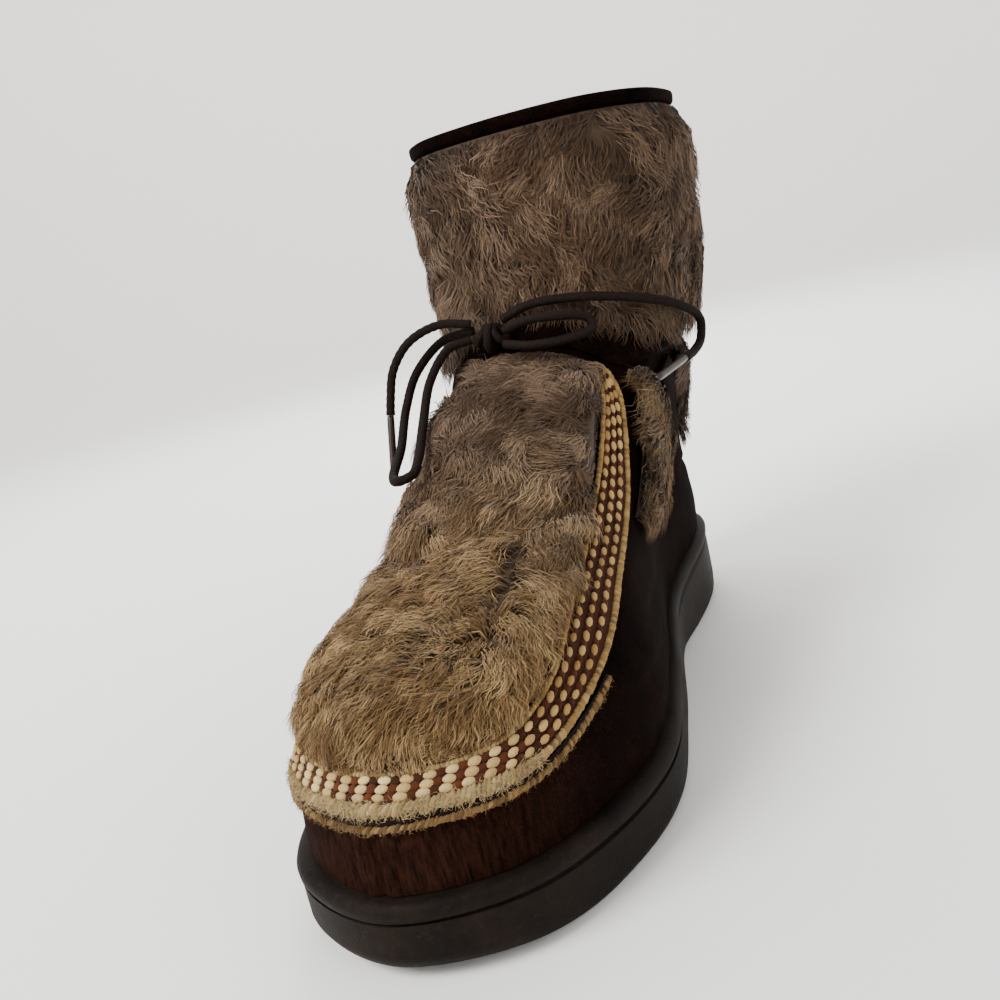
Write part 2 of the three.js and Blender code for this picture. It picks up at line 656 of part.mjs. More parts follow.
// Lace: a round cord of eight sides along a route of points chosen by hand.
function cord(points, diameter, steps) {
  const sides = 8;
  const section = [];
  for (let i = 0; i < sides; i += 1) {
    const angle = (2 * Math.PI * i) / sides;
    section.push(new THREE.Vector2(Math.cos(angle), Math.sin(angle)).multiplyScalar(diameter / 2));
  }
  const route = new THREE.CatmullRomCurve3(points.map((p) => new THREE.Vector3(...p)));
  return new THREE.ExtrudeGeometry(new THREE.Shape(section), { steps, extrudePath: route, bevelEnabled: false });
}
const KNOT = [-10, -75, 127];
const LOOP_OUTER = [
  [-16.6, -77, 128], [-24, -81, 126.5], [-28, -91, 118.5], [-26, -107, 107], [-22.5, -122, 98.5],
  [-21.5, -130, 95.2], [-25.5, -132.5, 94.3], [-30, -127, 94.6], [-34, -111, 100.5], [-38.5, -93, 111],
  [-38, -80, 121], [-29, -74, 129], [-16.6, -73.5, 130.5],
];
const LOOP_INNER = [
  [-3.4, -77.5, 129], [6, -80.5, 131], [17, -79.5, 130.5], [25, -75, 128], [26.5, -75, 124.5],
  [20, -80, 122.8], [8, -84.2, 123], [-3.4, -79.8, 124.5],
];
const END_OUTER = [
  [-16.2, -75.5, 133], [-27, -78.5, 135], [-37.5, -82.5, 131.5],
  [-44, -86, 123.5], [-46, -89, 114.5], [-46.2, -91.5, 109],
];
const AGLET_OUTER = [[-46.25, -91.7, 108.6], [-46.8, -99, 86.5]];
const END_INNER = [
  [-5.5, -72.8, 132.3], [6, -74, 135.5], [22, -70.5, 134.5], [38, -60.5, 130], [48.5, -45, 123.5],
  [52, -34.5, 116.5], [51.5, -36, 110], [50.5, -45, 107], [49.5, -54, 106.5],
];
const AGLET_INNER = [[49.4, -54.6, 106.5], [45, -77.5, 104.5]];

// Knot: three rounded turns of the lace drawn tight.
function makeKnot() {
  const turns = [
    { move: [0, 0, 0], size: [0.95, 0.62, 0.72] },
    { move: [-0.35, -0.1, 0.3], size: [0.55, 0.6, 0.55] },
    { move: [0.35, -0.1, 0.2], size: [0.55, 0.6, 0.6] },
  ];
  let knot = null;
  for (const turn of turns) {
    const ball = new THREE.IcosahedronGeometry(KNOT_SIZE, 1);
    ball.scale(...turn.size);
    ball.translate(...KNOT.map((value, n) => value + turn.move[n] * KNOT_SIZE));
    knot = knot ? knot.add(solidOf(ball)) : solidOf(ball);
  }
  return geometryOf(knot);
}

const finishes = {
  rubber: { color: 0x2a2220, roughness: 0.7 },
  suede: { color: 0x2b1a14, roughness: 0.95 },
  lining: { color: 0xb9a68a, roughness: 0.95 },
  fleece: { color: 0x7a6348, roughness: 1 },
  braid: { color: 0xcbb387, roughness: 0.9 },
  tape: { color: 0x5a3d2a, roughness: 0.9 },
  lace: { color: 0x1d1411, roughness: 0.8 },
  aglet: { color: 0x2c2420, roughness: 0.3 },
};
const group = new THREE.Group();
function addPiece(name, geometry, finish) {
  const material = new THREE.MeshStandardMaterial({ ...finishes[finish], metalness: 0 });
  const mesh = new THREE.Mesh(geometry, material);
  mesh.name = name;
  group.add(mesh);
}

addPiece('outsole', makeOutsole(), 'rubber');
addPiece('insole', makeInsole(), 'lining');
addPiece('upper', makeUpper(), 'suede');
addPiece('vamp_fur', makeVampFur(), 'fleece');
addPiece('quarter_fur_inner', makeQuarterFur(1), 'fleece');
addPiece('quarter_fur_outer', makeQuarterFur(-1), 'fleece');
addPiece('heel_fur', makeHeelFur(), 'fleece');
addPiece('shaft_fur', makeShaftFur(), 'fleece');
addPiece('vamp_braid', makeBraid(), 'braid');
addPiece('edge_tape', makeTape(), 'tape');
addPiece('heel_strap_inner', makeHeelStrap(1), 'suede');
addPiece('heel_strap_outer', makeHeelStrap(-1), 'suede');
addPiece('ankle_strap', makeAnkleStrap(), 'suede');
addPiece('collar_binding', makeBinding(), 'suede');
addPiece('lace_knot', makeKnot(), 'lace');
addPiece('lace_loop_outer', cord(LOOP_OUTER, LACE_DIAMETER, 24), 'lace');
addPiece('lace_loop_inner', cord(LOOP_INNER, LACE_DIAMETER, 15), 'lace');
addPiece('lace_end_outer', cord(END_OUTER, LACE_DIAMETER, 10), 'lace');
addPiece('lace_end_inner', cord(END_INNER, LACE_DIAMETER, 18), 'lace');
addPiece('aglet_outer', cord(AGLET_OUTER, AGLET_DIAMETER, 1), 'aglet');
addPiece('aglet_inner', cord(AGLET_INNER, AGLET_DIAMETER, 1), 'aglet');

export default group;
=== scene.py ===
# %% [markdown]
# This lesson dresses a mukluk boot: a rubber wedge sole, a suede foot, sheepskin panels, a woven braid
# and a tied lace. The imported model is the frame. Every piece is made in its place, in metres, so that
# nothing has to be moved afterwards.

# %% Load the frame
import json
import math

import bpy
import numpy as np
from mathutils import Matrix, Vector
from mathutils.kdtree import KDTree

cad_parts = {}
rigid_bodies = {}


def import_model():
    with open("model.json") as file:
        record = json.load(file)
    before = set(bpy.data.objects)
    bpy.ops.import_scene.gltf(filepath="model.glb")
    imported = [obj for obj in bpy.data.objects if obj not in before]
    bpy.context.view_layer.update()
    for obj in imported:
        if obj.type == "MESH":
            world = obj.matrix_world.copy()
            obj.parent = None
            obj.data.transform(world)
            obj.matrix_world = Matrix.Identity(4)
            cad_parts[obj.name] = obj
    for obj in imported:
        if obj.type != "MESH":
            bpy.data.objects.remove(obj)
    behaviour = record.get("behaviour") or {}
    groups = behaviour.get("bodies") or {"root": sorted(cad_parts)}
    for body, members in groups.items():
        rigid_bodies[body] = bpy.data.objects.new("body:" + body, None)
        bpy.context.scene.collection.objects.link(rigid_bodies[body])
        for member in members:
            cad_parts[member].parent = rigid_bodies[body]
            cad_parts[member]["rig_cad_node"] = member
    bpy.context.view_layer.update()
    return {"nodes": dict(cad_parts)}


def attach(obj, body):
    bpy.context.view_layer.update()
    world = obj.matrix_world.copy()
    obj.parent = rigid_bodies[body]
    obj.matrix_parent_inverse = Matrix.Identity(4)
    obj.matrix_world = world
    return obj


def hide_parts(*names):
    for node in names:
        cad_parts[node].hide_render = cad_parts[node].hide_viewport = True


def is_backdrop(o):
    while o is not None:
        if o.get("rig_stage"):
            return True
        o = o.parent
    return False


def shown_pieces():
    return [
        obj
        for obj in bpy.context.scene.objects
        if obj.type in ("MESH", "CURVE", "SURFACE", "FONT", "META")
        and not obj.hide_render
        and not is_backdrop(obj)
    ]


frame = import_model()
MM = 0.001
print("pieces in the frame:", len(frame["nodes"]))

# %% [markdown]
# The camera comes first. It stands where the photographer stood: in front of the toe, a little to the
# inner side, above the boot and rolled. The lens is wider than the photographer's and aims at the
# middle of the boot, so that the whole boot is in the picture at the same angle.

# %% Camera
EYE = Vector((0.142, -0.414, 0.156))
YAW, PITCH, ROLL = [math.radians(angle) for angle in (-18.8, 26.8, -11.7)]
# in pixels: side of the square picture, both lenses, and the boot's middle in the photograph
PICTURE = 1000
PHOTO_FOCUS = 1384
FOCUS = 1080
BOOT_MIDDLE = (268, 200)
SENSOR = 36


def camera_axes():
    forward = Vector((math.sin(YAW) * math.cos(PITCH), math.cos(YAW) * math.cos(PITCH), -math.sin(PITCH)))
    right = Vector((math.cos(YAW), -math.sin(YAW), 0))
    up = right.cross(forward)
    rolled_right = right * math.cos(ROLL) + up * math.sin(ROLL)
    rolled_up = up * math.cos(ROLL) - right * math.sin(ROLL)
    aim = forward * PHOTO_FOCUS
    aim += rolled_right * (BOOT_MIDDLE[0] - PICTURE / 2)
    aim += rolled_up * (PICTURE / 2 - BOOT_MIDDLE[1])
    back = -aim.normalized()
    across = (rolled_right - back * rolled_right.dot(back)).normalized()
    return across, back.cross(across), back


lens = bpy.data.cameras.new("photo_camera")
lens.sensor_width = SENSOR
lens.lens = SENSOR * FOCUS / PICTURE
lens.clip_start = 0.01
camera = bpy.data.objects.new("photo_camera", lens)
bpy.context.scene.collection.objects.link(camera)
camera.matrix_world = Matrix(camera_axes()).transposed().to_4x4()
camera.location = EYE
bpy.context.scene.camera = camera
print("lens in millimetres:", round(lens.lens, 1))

# %% [markdown]
# Soft light: one large lamp over the toe's outer side, a weaker one from the inner side, one behind
# that draws the edge of the fleece, and one turned away that lights the backdrop. The floor is a plain
# pale disc that curves up far behind the boot, so that no horizon shows.

# %% Light and floor
LAMPS = [
    {"name": "key", "place": (-0.55, -0.9, 0.95), "aim": (0, -0.08, 0.06), "size": 0.6, "power": 26},
    {"name": "fill", "place": (0.95, -0.5, 0.55), "aim": (0, -0.08, 0.06), "size": 0.8, "power": 5},
    {"name": "rim", "place": (-0.3, 0.8, 0.9), "aim": (0, -0.08, 0.06), "size": 0.6, "power": 10},
    {"name": "backdrop", "place": (-0.3, 0.3, 1.5), "aim": (-0.5, 2.4, 0.5), "size": 1.2, "power": 42},
]
for row in LAMPS:
    lamp = bpy.data.lights.new(row["name"], "AREA")
    lamp.size, lamp.energy = row["size"], row["power"]
    holder = bpy.data.objects.new(row["name"], lamp)
    holder.location = row["place"]
    aim = Vector(row["aim"]) - holder.location
    holder.rotation_euler = aim.to_track_quat("-Z", "Y").to_euler()
    bpy.context.scene.collection.objects.link(holder)

world = bpy.data.worlds.new("pale_room")
world.use_nodes = True
room = world.node_tree.nodes["Background"].inputs
room["Color"].default_value = (0.93, 0.94, 0.96, 1)
room["Strength"].default_value = 0.62
bpy.context.scene.world = world

FLOOR_RADIUS = 1.5
CURVE_STEP = 0.14
BACKDROP_RISE = 0.6
bpy.ops.object.select_all(action="DESELECT")
bpy.ops.mesh.primitive_circle_add(vertices=96, radius=FLOOR_RADIUS, fill_type="NGON", location=(0, 0, 0))
floor = bpy.context.object
floor.name = "floor"
bpy.ops.object.mode_set(mode="EDIT")
bpy.ops.mesh.select_all(action="SELECT")
bpy.ops.mesh.region_to_loop()
reach = FLOOR_RADIUS
for lean in range(5, 95, 10):
    out, up = CURVE_STEP * math.cos(math.radians(lean)), CURVE_STEP * math.sin(math.radians(lean))
    bpy.ops.mesh.extrude_edges_move(TRANSFORM_OT_translate={"value": (0, 0, up)})
    grown = (reach + out) / reach
    bpy.ops.transform.resize(value=(grown, grown, 1), center_override=(0, 0, 0))
    reach += out
bpy.ops.mesh.extrude_edges_move(TRANSFORM_OT_translate={"value": (0, 0, BACKDROP_RISE)})
bpy.ops.object.mode_set(mode="OBJECT")
bpy.ops.object.shade_smooth()
floor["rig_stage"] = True
print("lamps:", len(LAMPS), "floor and backdrop faces:", len(floor.data.polygons))

# %% [markdown]
# Every finish starts from the real material. One function turns a printed colour into the linear one
# that the renderer wants, one adds a shader node with its settings and links, and short ones build on
# it for what the finishes share. The size of a pattern is always a real size.

# %% Helpers for finishes


def linear(hex_colour):
    parts = [int(hex_colour[i:i + 2], 16) / 255 for i in (1, 3, 5)]
    return np.array([p / 12.92 if p <= 0.04045 else ((p + 0.055) / 1.055) ** 2.4 for p in parts] + [1])


def add_node(tree, kind, inputs=None, **settings):
    made = tree.nodes.new(kind)
    for name, value in settings.items():
        setattr(made, name, value)
    for name, value in (inputs or {}).items():
        if isinstance(value, bpy.types.NodeSocket):
            tree.links.new(value, made.inputs[name])
        else:
            made.inputs[name].default_value = value
    return made


def new_finish(name, **sockets):
    material = bpy.data.materials.new(name)
    material.use_nodes = True
    shader = material.node_tree.nodes["Principled BSDF"]
    for socket, value in sockets.items():
        shader.inputs[socket.replace("_", " ")].default_value = value
    return material, material.node_tree, shader


def places(tree):
    return add_node(tree, "ShaderNodeTexCoord").outputs["Object"]


def noise(tree, place, size, detail=2.0, roughness=0.5):
    inputs = {"Vector": place, "Scale": 1 / size, "Detail": detail, "Roughness": roughness}
    return add_node(tree, "ShaderNodeTexNoise", inputs).outputs["Fac"]


def ramp(tree, value, dark, light, low=0, high=1):
    made = add_node(tree, "ShaderNodeValToRGB", {"Fac": value})
    for n, (spot, colour) in enumerate(((low, dark), (high, light))):
        made.color_ramp.elements[n].position = spot
        made.color_ramp.elements[n].color = linear(colour)
    return made.outputs["Color"]


def remapped(tree, value, low, high, to_low=0, to_high=1):
    inputs = {"Value": value, "From Min": low, "From Max": high, "To Min": to_low, "To Max": to_high}
    return add_node(tree, "ShaderNodeMapRange", inputs).outputs["Result"]


def mixed(tree, first, second, factor=1.0, kind="MIX"):
    inputs = {"Factor": factor, 6: first, 7: second}
    return add_node(tree, "ShaderNodeMix", inputs, data_type="RGBA", blend_type=kind).outputs[2]


def at_toe(tree, place, pattern, start, full, most=1.0):
    """A pattern that fades in towards the toe, from start to full along the boot."""
    axes = add_node(tree, "ShaderNodeSeparateXYZ", {"Vector": place})
    toe = remapped(tree, axes.outputs["Y"], start, full, 0, most)
    return add_node(tree, "ShaderNodeMath", {0: toe, 1: pattern}, operation="MULTIPLY").outputs["Value"]


def finish_with(tree, shader, colour, height=None, **bump):
    tree.links.new(colour, shader.inputs["Base Color"])
    if height is not None:
        relief = add_node(tree, "ShaderNodeBump", {"Height": height, **bump})
        tree.links.new(relief.outputs["Normal"], shader.inputs["Normal"])


# %% [markdown]
# Suede is leather with its nap raised. It takes light at grazing angles, so it gets sheen, no gloss
# and a soft patchy tone where the nap lies this way and that. The patches are 14 mm across and the
# fibres, drawn a little coarser than real ones so that they show, are 0.6 mm. Strokes of raised
# reddish nap run down the toe, where the suede is rubbed most.

# %% Brown suede
suede, tree, shader = new_finish("brushed_brown_suede", Roughness=0.95, Specular_IOR_Level=0.03,
                                 Sheen_Weight=0.03, Sheen_Roughness=0.4, Sheen_Tint=linear("#5e3d2b"))
place = places(tree)
fibre = noise(tree, place, 0.6 * MM)
nap = ramp(tree, noise(tree, place, 14 * MM, 4.0, 0.6), "#070301", "#231009", 0.34, 0.72)
worn = ramp(tree, fibre, "#6a6a6a", "#ffffff", 0.42, 0.75)
STROKE = (1 / (0.8 * MM), 1 / (0.8 * MM), 1 / (6 * MM))
stretch = add_node(tree, "ShaderNodeMapping", {"Vector": place, "Scale": STROKE}).outputs["Vector"]
rubbed = at_toe(tree, place, remapped(tree, noise(tree, stretch, 1, 3.0), 0.3, 0.8), -0.19, -0.235)
colour = mixed(tree, mixed(tree, nap, worn, kind="MULTIPLY"), linear("#2f1a12"), rubbed)
finish_with(tree, shader, colour, fibre, Distance=0.35 * MM, Strength=0.7)
print("suede nodes:", len(tree.nodes))

# %% [markdown]
# The sole is moulded black rubber that has gone brown-grey with wear. It is dull, with a faint gloss
# on the lip, dust in broad clouds and a grain of about 1 mm. Pale scuffs lie where the toe has been
# knocked.

# %% Worn rubber
rubber, tree, shader = new_finish("moulded_black_rubber", Roughness=0.6, Specular_IOR_Level=0.07)
place = places(tree)
cloud = noise(tree, place, 22 * MM, 6.0, 0.65)
scuff = remapped(tree, noise(tree, place, 2.2 * MM, 7.0, 0.75), 0.55, 0.72)
colour = mixed(tree, ramp(tree, cloud, "#0a0705", "#1e1610", 0.35, 0.75), linear("#3a2f27"),
               at_toe(tree, place, scuff, -0.18, -0.225, 0.35))
finish_with(tree, shader, colour, noise(tree, place, 1 * MM, 3.0), Distance=0.25 * MM, Strength=0.5)
tree.links.new(remapped(tree, cloud, 0, 1, 0.45, 0.8), shader.inputs["Roughness"])
print("rubber nodes:", len(tree.nodes))

# %% [markdown]
# Fleece, yarn and lace are fibres. Each strand or stitch carries its own colour in an attribute
# named tint, so one finish serves thousands of fibres of slightly different tone. Yarn and lace have
# a fine relief too.

# %% Fibres
TINTED = []
for name, roughness, sheen, grain_size in (
    ("sheepskin_fleece", 0.7, 0.12, 2.5),
    ("cotton_braid_yarn", 0.95, 0.08, 0.45),
    ("round_braided_lace", 0.75, 0.0, 0.5),
):
    fibres, tree, shader = new_finish(name, Roughness=roughness, Specular_IOR_Level=0.1,
                                      Sheen_Weight=sheen, Sheen_Roughness=0.5)
    tint = add_node(tree, "ShaderNodeAttribute", attribute_name="tint").outputs["Color"]
    grain = noise(tree, places(tree), grain_size * MM, 3.0)
    colour = mixed(tree, tint, remapped(tree, grain, 0, 1, 0.65, 1.3), kind="MULTIPLY")
    finish_with(tree, shader, colour, grain if TINTED else None, Distance=0.2 * MM)
    TINTED.append(fibres)
fleece, yarn, lace_finish = TINTED
print("fibre finishes:", len(TINTED))

# %% [markdown]
# The lace ends are dipped in clear film over the dark cord: smooth, hard and glossy.
# The floor is matt paint.

# %% Film and floor paint
film, tree, shader = new_finish("clear_lace_tip_film", Roughness=0.35, Specular_IOR_Level=0.3,
                                Coat_Weight=0.2, Coat_Roughness=0.15)
finish_with(tree, shader, ramp(tree, noise(tree, places(tree), 1.2 * MM), "#0f0906", "#2a1c15"))
paint = new_finish("matt_pale_floor_paint", Roughness=0.9, Base_Color=linear("#f3f1ee"))[0]
floor.data.materials.append(paint)
print("finishes:", len(bpy.data.materials))

# %% [markdown]
# The shape of the last. The boot was drawn with a table of the sole's outline and a table of rings
# that rise from the sole to the collar. The same two tables give any point of the leather here, so
# fleece, braid and stitches can be laid on it: a station says how far round from the toe (0) over the
# ball (3) to the heel (8), less than 0 on the outer side, and a ring says how far up.

# %% Sizes of the boot
SOLE_LENGTH = 0.277
HEEL_BACK = 0.039
BALL_WIDTH = 0.104
WAIST_WIDTH = 0.075
HEEL_WIDTH = 0.067
FOREFOOT_THICKNESS = 0.019
HEEL_THICKNESS = 0.029
TOE_SPRING = 0.004
ARCH_RISE = 0.003
ANKLE_HEIGHT = 0.117
COLLAR_HEIGHT = 0.198
ANKLE_WIDTH = 0.08
GAP = 0.0003
WALL = 0.0022
FULLNESS = 2.4
STATIONS = 16
TOE = HEEL_BACK - SOLE_LENGTH
TOE_MIDDLE = 0.048 * BALL_WIDTH
HEEL_MIDDLE = -0.045 * HEEL_WIDTH

# place along the sole, full width, middle of the width
LAST = np.array([
    (0.045, 0.545 * BALL_WIDTH, 0.04 * BALL_WIDTH),
    (0.14, 0.835 * BALL_WIDTH, 0.032 * BALL_WIDTH),
    (0.28, BALL_WIDTH, 0.017 * BALL_WIDTH),
    (0.45, 0.9 * BALL_WIDTH, -0.017 * BALL_WIDTH),
    (0.64, WAIST_WIDTH, -0.064 * WAIST_WIDTH),
    (0.85, HEEL_WIDTH, -0.052 * HEEL_WIDTH),
    (0.96, 0.69 * HEEL_WIDTH, -0.045 * HEEL_WIDTH),
])
# front, rise, back, heel, spread, girth, round, swing
RINGS = np.array([
    (0.014, 0, 0.987, 0, 0.93, 1, 0, 1),
    (0.017, 0.124, 0.988, 0.125, 0.945, 1, 0, 1),
    (0.03, 0.216, 0.986, 0.24, 0.925, 1, 0.04, 1),
    (0.054, 0.3, 0.985, 0.33, 0.88, 1, 0.1, 0.95),
    (0.094, 0.371, 0.984, 0.41, 0.83, 0.99, 0.2, 0.9),
    (0.148, 0.423, 0.983, 0.477, 0.78, 0.97, 0.35, 0.8),
    (0.217, 0.474, 0.982, 0.545, 0.74, 0.95, 0.5, 0.7),
    (0.292, 0.541, 0.982, 0.614, 0.71, 0.93, 0.65, 0.6),
    (0.372, 0.639, 0.982, 0.693, 0.7, 0.92, 0.8, 0.5),
    (0.451, 0.763, 0.982, 0.784, 0.7, 0.93, 0.9, 0.4),
    (0.523, 0.887, 0.982, 0.886, 0.7, 0.96, 1, 0.3),
    (0.585, 1, 0.982, 1, 0.7, 1, 1, 0.2),
    (0.625, 1.157, 0.984, 1.13, 0.7, 1.03, 1, 0.1),
    (0.643, 1.337, 0.986, 1.3, 0.7, 1.07, 1, 0),
    (0.65, 1.578, 0.99, 1.54, 0.7, 1.12, 1, 0),
    (0.653, 1.807, 0.993, 1.78, 0.7, 1.15, 1, 0),
    (0.653, 2, 0.995, 1.976, 0.7, 1.17, 1, 0),
])
TOP = len(RINGS) - 1


# %% Points on the leather
def mix(a, b, t):
    return a + (b - a) * t


def ease(start, end, t):
    s = np.clip((t - start) / (end - start), 0, 1)
    return s * s * (3 - 2 * s)


def catmull(a, b, c, d, t):
    return b + 0.5 * t * (c - a + t * (2 * a - 5 * b + 4 * c - d + t * (3 * (b - c) + d - a)))


def between(rows, at):
    """Smooth rows of a table at row numbers that need not be whole."""
    at = np.asarray(at, float)
    k = np.clip(np.floor(at).astype(int), 0, len(rows) - 2)
    picks = [rows[np.clip(k + i, 0, len(rows) - 1)] for i in (-1, 0, 1, 2)]
    return catmull(*picks, (at - k)[..., None])


def ground(y):
    along = (y - TOE) / SOLE_LENGTH
    arch = ease(0.42, 0.59, along) - ease(0.59, 0.76, along)
    return TOE_SPRING * (1 - ease(-0.02, 0.15, along)) + ARCH_RISE * arch


def sole_top(y):
    along = (y - TOE) / SOLE_LENGTH
    spring = 0.5 * TOE_SPRING * (1 - ease(0, 0.2, along))
    return mix(FOREFOOT_THICKNESS, HEEL_THICKNESS, ease(0.3, 0.9, along)) + spring


def height(rise, y):
    foot = mix(sole_top(y) + GAP, ANKLE_HEIGHT, np.minimum(rise, 1))
    return foot + np.maximum(rise - 1, 0) * (COLLAR_HEIGHT - ANKLE_HEIGHT)


def ring_points(v):
    """The sixteen points of the rings at v: front, inner stations, back, outer stations."""
    row = between(RINGS, v)
    front, rise, back, heel, spread, girth, rounded, swing = [row[..., n, None] for n in range(8)]
    share, width, middle = LAST.T
    front_y, back_y = TOE + front * SOLE_LENGTH, TOE + back * SOLE_LENGTH
    y = mix(front_y, back_y, share)
    oval = (1 - np.abs(2 * share - 1) ** FULLNESS) ** (1 / FULLNESS)
    half = mix(spread * width / 2, girth * oval * ANKLE_WIDTH / 2, rounded)
    z = height(mix(rise, heel, share), y)
    inner = np.stack([middle * swing + half, y, z], -1)
    outer = np.stack([middle * swing - half, y, z], -1)
    first = np.stack([TOE_MIDDLE * swing, front_y, height(rise, front_y)], -1)
    last = np.stack([HEEL_MIDDLE * swing, back_y, height(heel, back_y)], -1)
    return np.concatenate([first, inner, last, outer[..., ::-1, :]], -2)


def loop_point(points, u):
    """Closed smooth curve through points (one set for each u), at the share u of the way round."""
    count = points.shape[-2]
    spot = (u - np.floor(u)) * count
    k = np.floor(spot).astype(int)
    rows = np.arange(len(u))
    picks = [points[rows, (k + i) % count] for i in (-1, 0, 1, 2)]
    return catmull(*picks, (spot - k)[:, None])


def skin(u, v):
    u, v = np.broadcast_arrays(np.asarray(u, float), np.asarray(v, float))
    shape = u.shape
    return loop_point(ring_points(v.ravel()), u.ravel()).reshape(shape + (3,))


def unit(vectors):
    return vectors / np.maximum(np.linalg.norm(vectors, axis=-1, keepdims=True), 1e-12)


def skin_axes(u, v):
    """Outward normal, direction down towards the sole or toe, and direction to the side."""
    around, along = 0.004, 0.05
    low, high = np.maximum(v - along, 0), np.minimum(v + along, TOP)
    rounding = skin(u + around, v) - skin(u - around, v)
    rising = skin(u, high) - skin(u, low)
    normal = np.cross(rounding, rising)
    normal[..., 2] = np.where(v < 0.5, 0, normal[..., 2])
    normal = unit(normal)
    down = unit(-rising)
    return normal, down, unit(np.cross(normal, down))


def surface(u, v, offset):
    normal = skin_axes(u, v)[0]
    return skin(u, v) + normal * np.asarray(offset, float)[..., None]


probe = skin(np.array([0.0, 0.5]), np.array([5.0, 16.0]))
print("toe ridge and collar back in millimetres:", np.round(probe / MM, 1).tolist())

# %% [markdown]
# A few helpers make most meshes. One adds a flat grid and wraps it on the leather. Another builds a
# joined mesh from arrays, for things that come in hundreds or thousands, such as stitches and hairs.

# %% Helpers for meshes


def coordinates(mesh):
    flat = np.zeros(len(mesh.vertices) * 3)
    mesh.vertices.foreach_get("co", flat)
    return flat.reshape(-1, 3)


def triangles(piece):
    return sum(len(face.vertices) - 2 for face in piece.data.polygons)


def run_along(path):
    """The length of a path up to each of its points."""
    return np.concatenate([[0], np.cumsum(np.linalg.norm(np.diff(path, axis=0), axis=1))])


def choose(*pieces):
    """Selects these pieces and no others, the first as the active one."""
    bpy.ops.object.select_all(action="DESELECT")
    for piece in pieces:
        piece.select_set(True)
    if pieces:
        bpy.context.view_layer.objects.active = pieces[0]


def merged(name, parts):
    choose(*parts)
    bpy.ops.object.join()
    parts[0].name = name
    return parts[0]


def wrapped(name, across, up, shape, thickness=0.0, closed=False):
    """A flat grid laid on a surface: shape turns shares across and up into points."""
    choose()
    bpy.ops.mesh.primitive_grid_add(x_subdivisions=across, y_subdivisions=up, size=1)
    piece = bpy.context.object
    piece.name = name
    flat = coordinates(piece.data)
    points = shape(flat[:, 0] + 0.5, flat[:, 1] + 0.5)
    piece.data.vertices.foreach_set("co", points.ravel())
    piece.data.update()
    if closed:
        bpy.ops.object.mode_set(mode="EDIT")
        bpy.ops.mesh.select_all(action="SELECT")
        bpy.ops.mesh.remove_doubles(threshold=0.02 * MM)
        bpy.ops.object.mode_set(mode="OBJECT")
    if thickness:
        wall = piece.modifiers.new("wall", "SOLIDIFY")
        wall.thickness = thickness
        wall.offset = -1
        bpy.ops.object.modifier_apply(modifier=wall.name)
    bpy.ops.object.shade_smooth_by_angle(angle=math.radians(50))
    return piece


def joined(name, points, faces, tints=None):
    mesh = bpy.data.meshes.new(name)
    mesh.from_pydata(points.reshape(-1, 3).tolist(), [], faces)
    mesh.shade_smooth()
    if tints is not None:
        attribute = mesh.attributes.new("tint", "FLOAT_COLOR", "POINT")
        attribute.data.foreach_set("color", tints.reshape(-1, 4).astype(np.float32).ravel())
    piece = bpy.data.objects.new(name, mesh)
    bpy.context.scene.collection.objects.link(piece)
    return piece


def dressed(piece, material, slot, *nodes):
    """Gives a finished piece its finish and its body, and hides the nodes it stands for."""
    piece.data.materials.clear()
    piece.data.materials.append(material)
    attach(piece, "root")
    if nodes:
        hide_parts(*nodes)
    return piece


def flat_tint(piece, hex_colour):
    attribute = piece.data.attributes.new("tint", "FLOAT_COLOR", "POINT")
    colours = np.tile(linear(hex_colour), (len(piece.data.vertices), 1))
    attribute.data.foreach_set("color", colours.astype(np.float32).ravel())


# %% [markdown]
# The lace is a round braided cord, 3.2 mm thick and limp. It is tied in a bow at the front of the
# ankle strap. The photograph shows the outer loop's lower end and the tips of both ends. The rest is a
# guess that joins them, with the lengths of an ordinary bow. Each run is a tube swept along a curve
# through listed points, with the criss-cross relief of its strands worked into the tube.

# %% Routes of the lace, in millimetres
LACE_DIAMETER = 3.2 * MM
LACE_RELIEF = 0.12 * MM
LACE_STRANDS = 4
LACE_STEP = 0.45 * MM
LACE_COLOUR = "#140b07"
AGLET_DIAMETER = 2.6 * MM
KNOT = (-10, -75, 127)
LOOP_OUTER = [
    (-16.6, -77, 128), (-24, -81, 126.5), (-28, -91, 118.5), (-26, -107, 107), (-22.5, -122, 98.5),
    (-21.5, -130, 95.2), (-25.5, -132.5, 94.3), (-30, -127, 94.6), (-34, -111, 100.5), (-38.5, -93, 111),
    (-38, -80, 121), (-29, -74, 129), (-16.6, -73.5, 130.5),
]
LOOP_INNER = [
    (-3.4, -77.5, 129), (6, -80.5, 131), (17, -79.5, 130.5), (25, -75, 128), (26.5, -75, 124.5),
    (20, -80, 122.8), (8, -84.2, 123), (-3.4, -79.8, 124.5),
]
END_OUTER = [
    (-16.2, -75.5, 133), (-27, -78.5, 135), (-37.5, -82.5, 131.5),
    (-44, -86, 123.5), (-46, -89, 114.5), (-46.2, -91.5, 109),
]
END_INNER = [
    (-5.5, -72.8, 132.3), (6, -74, 135.5), (22, -70.5, 134.5), (38, -60.5, 130), (48.5, -45, 123.5),
    (52, -34.5, 116.5), (51.5, -36, 110), (50.5, -45, 107), (49.5, -54, 106.5),
]
AGLET_OUTER = [(-46.25, -91.7, 108.6), (-46.8, -99, 86.5)]
AGLET_INNER = [(49.4, -54.6, 106.5), (45, -77.5, 104.5)]


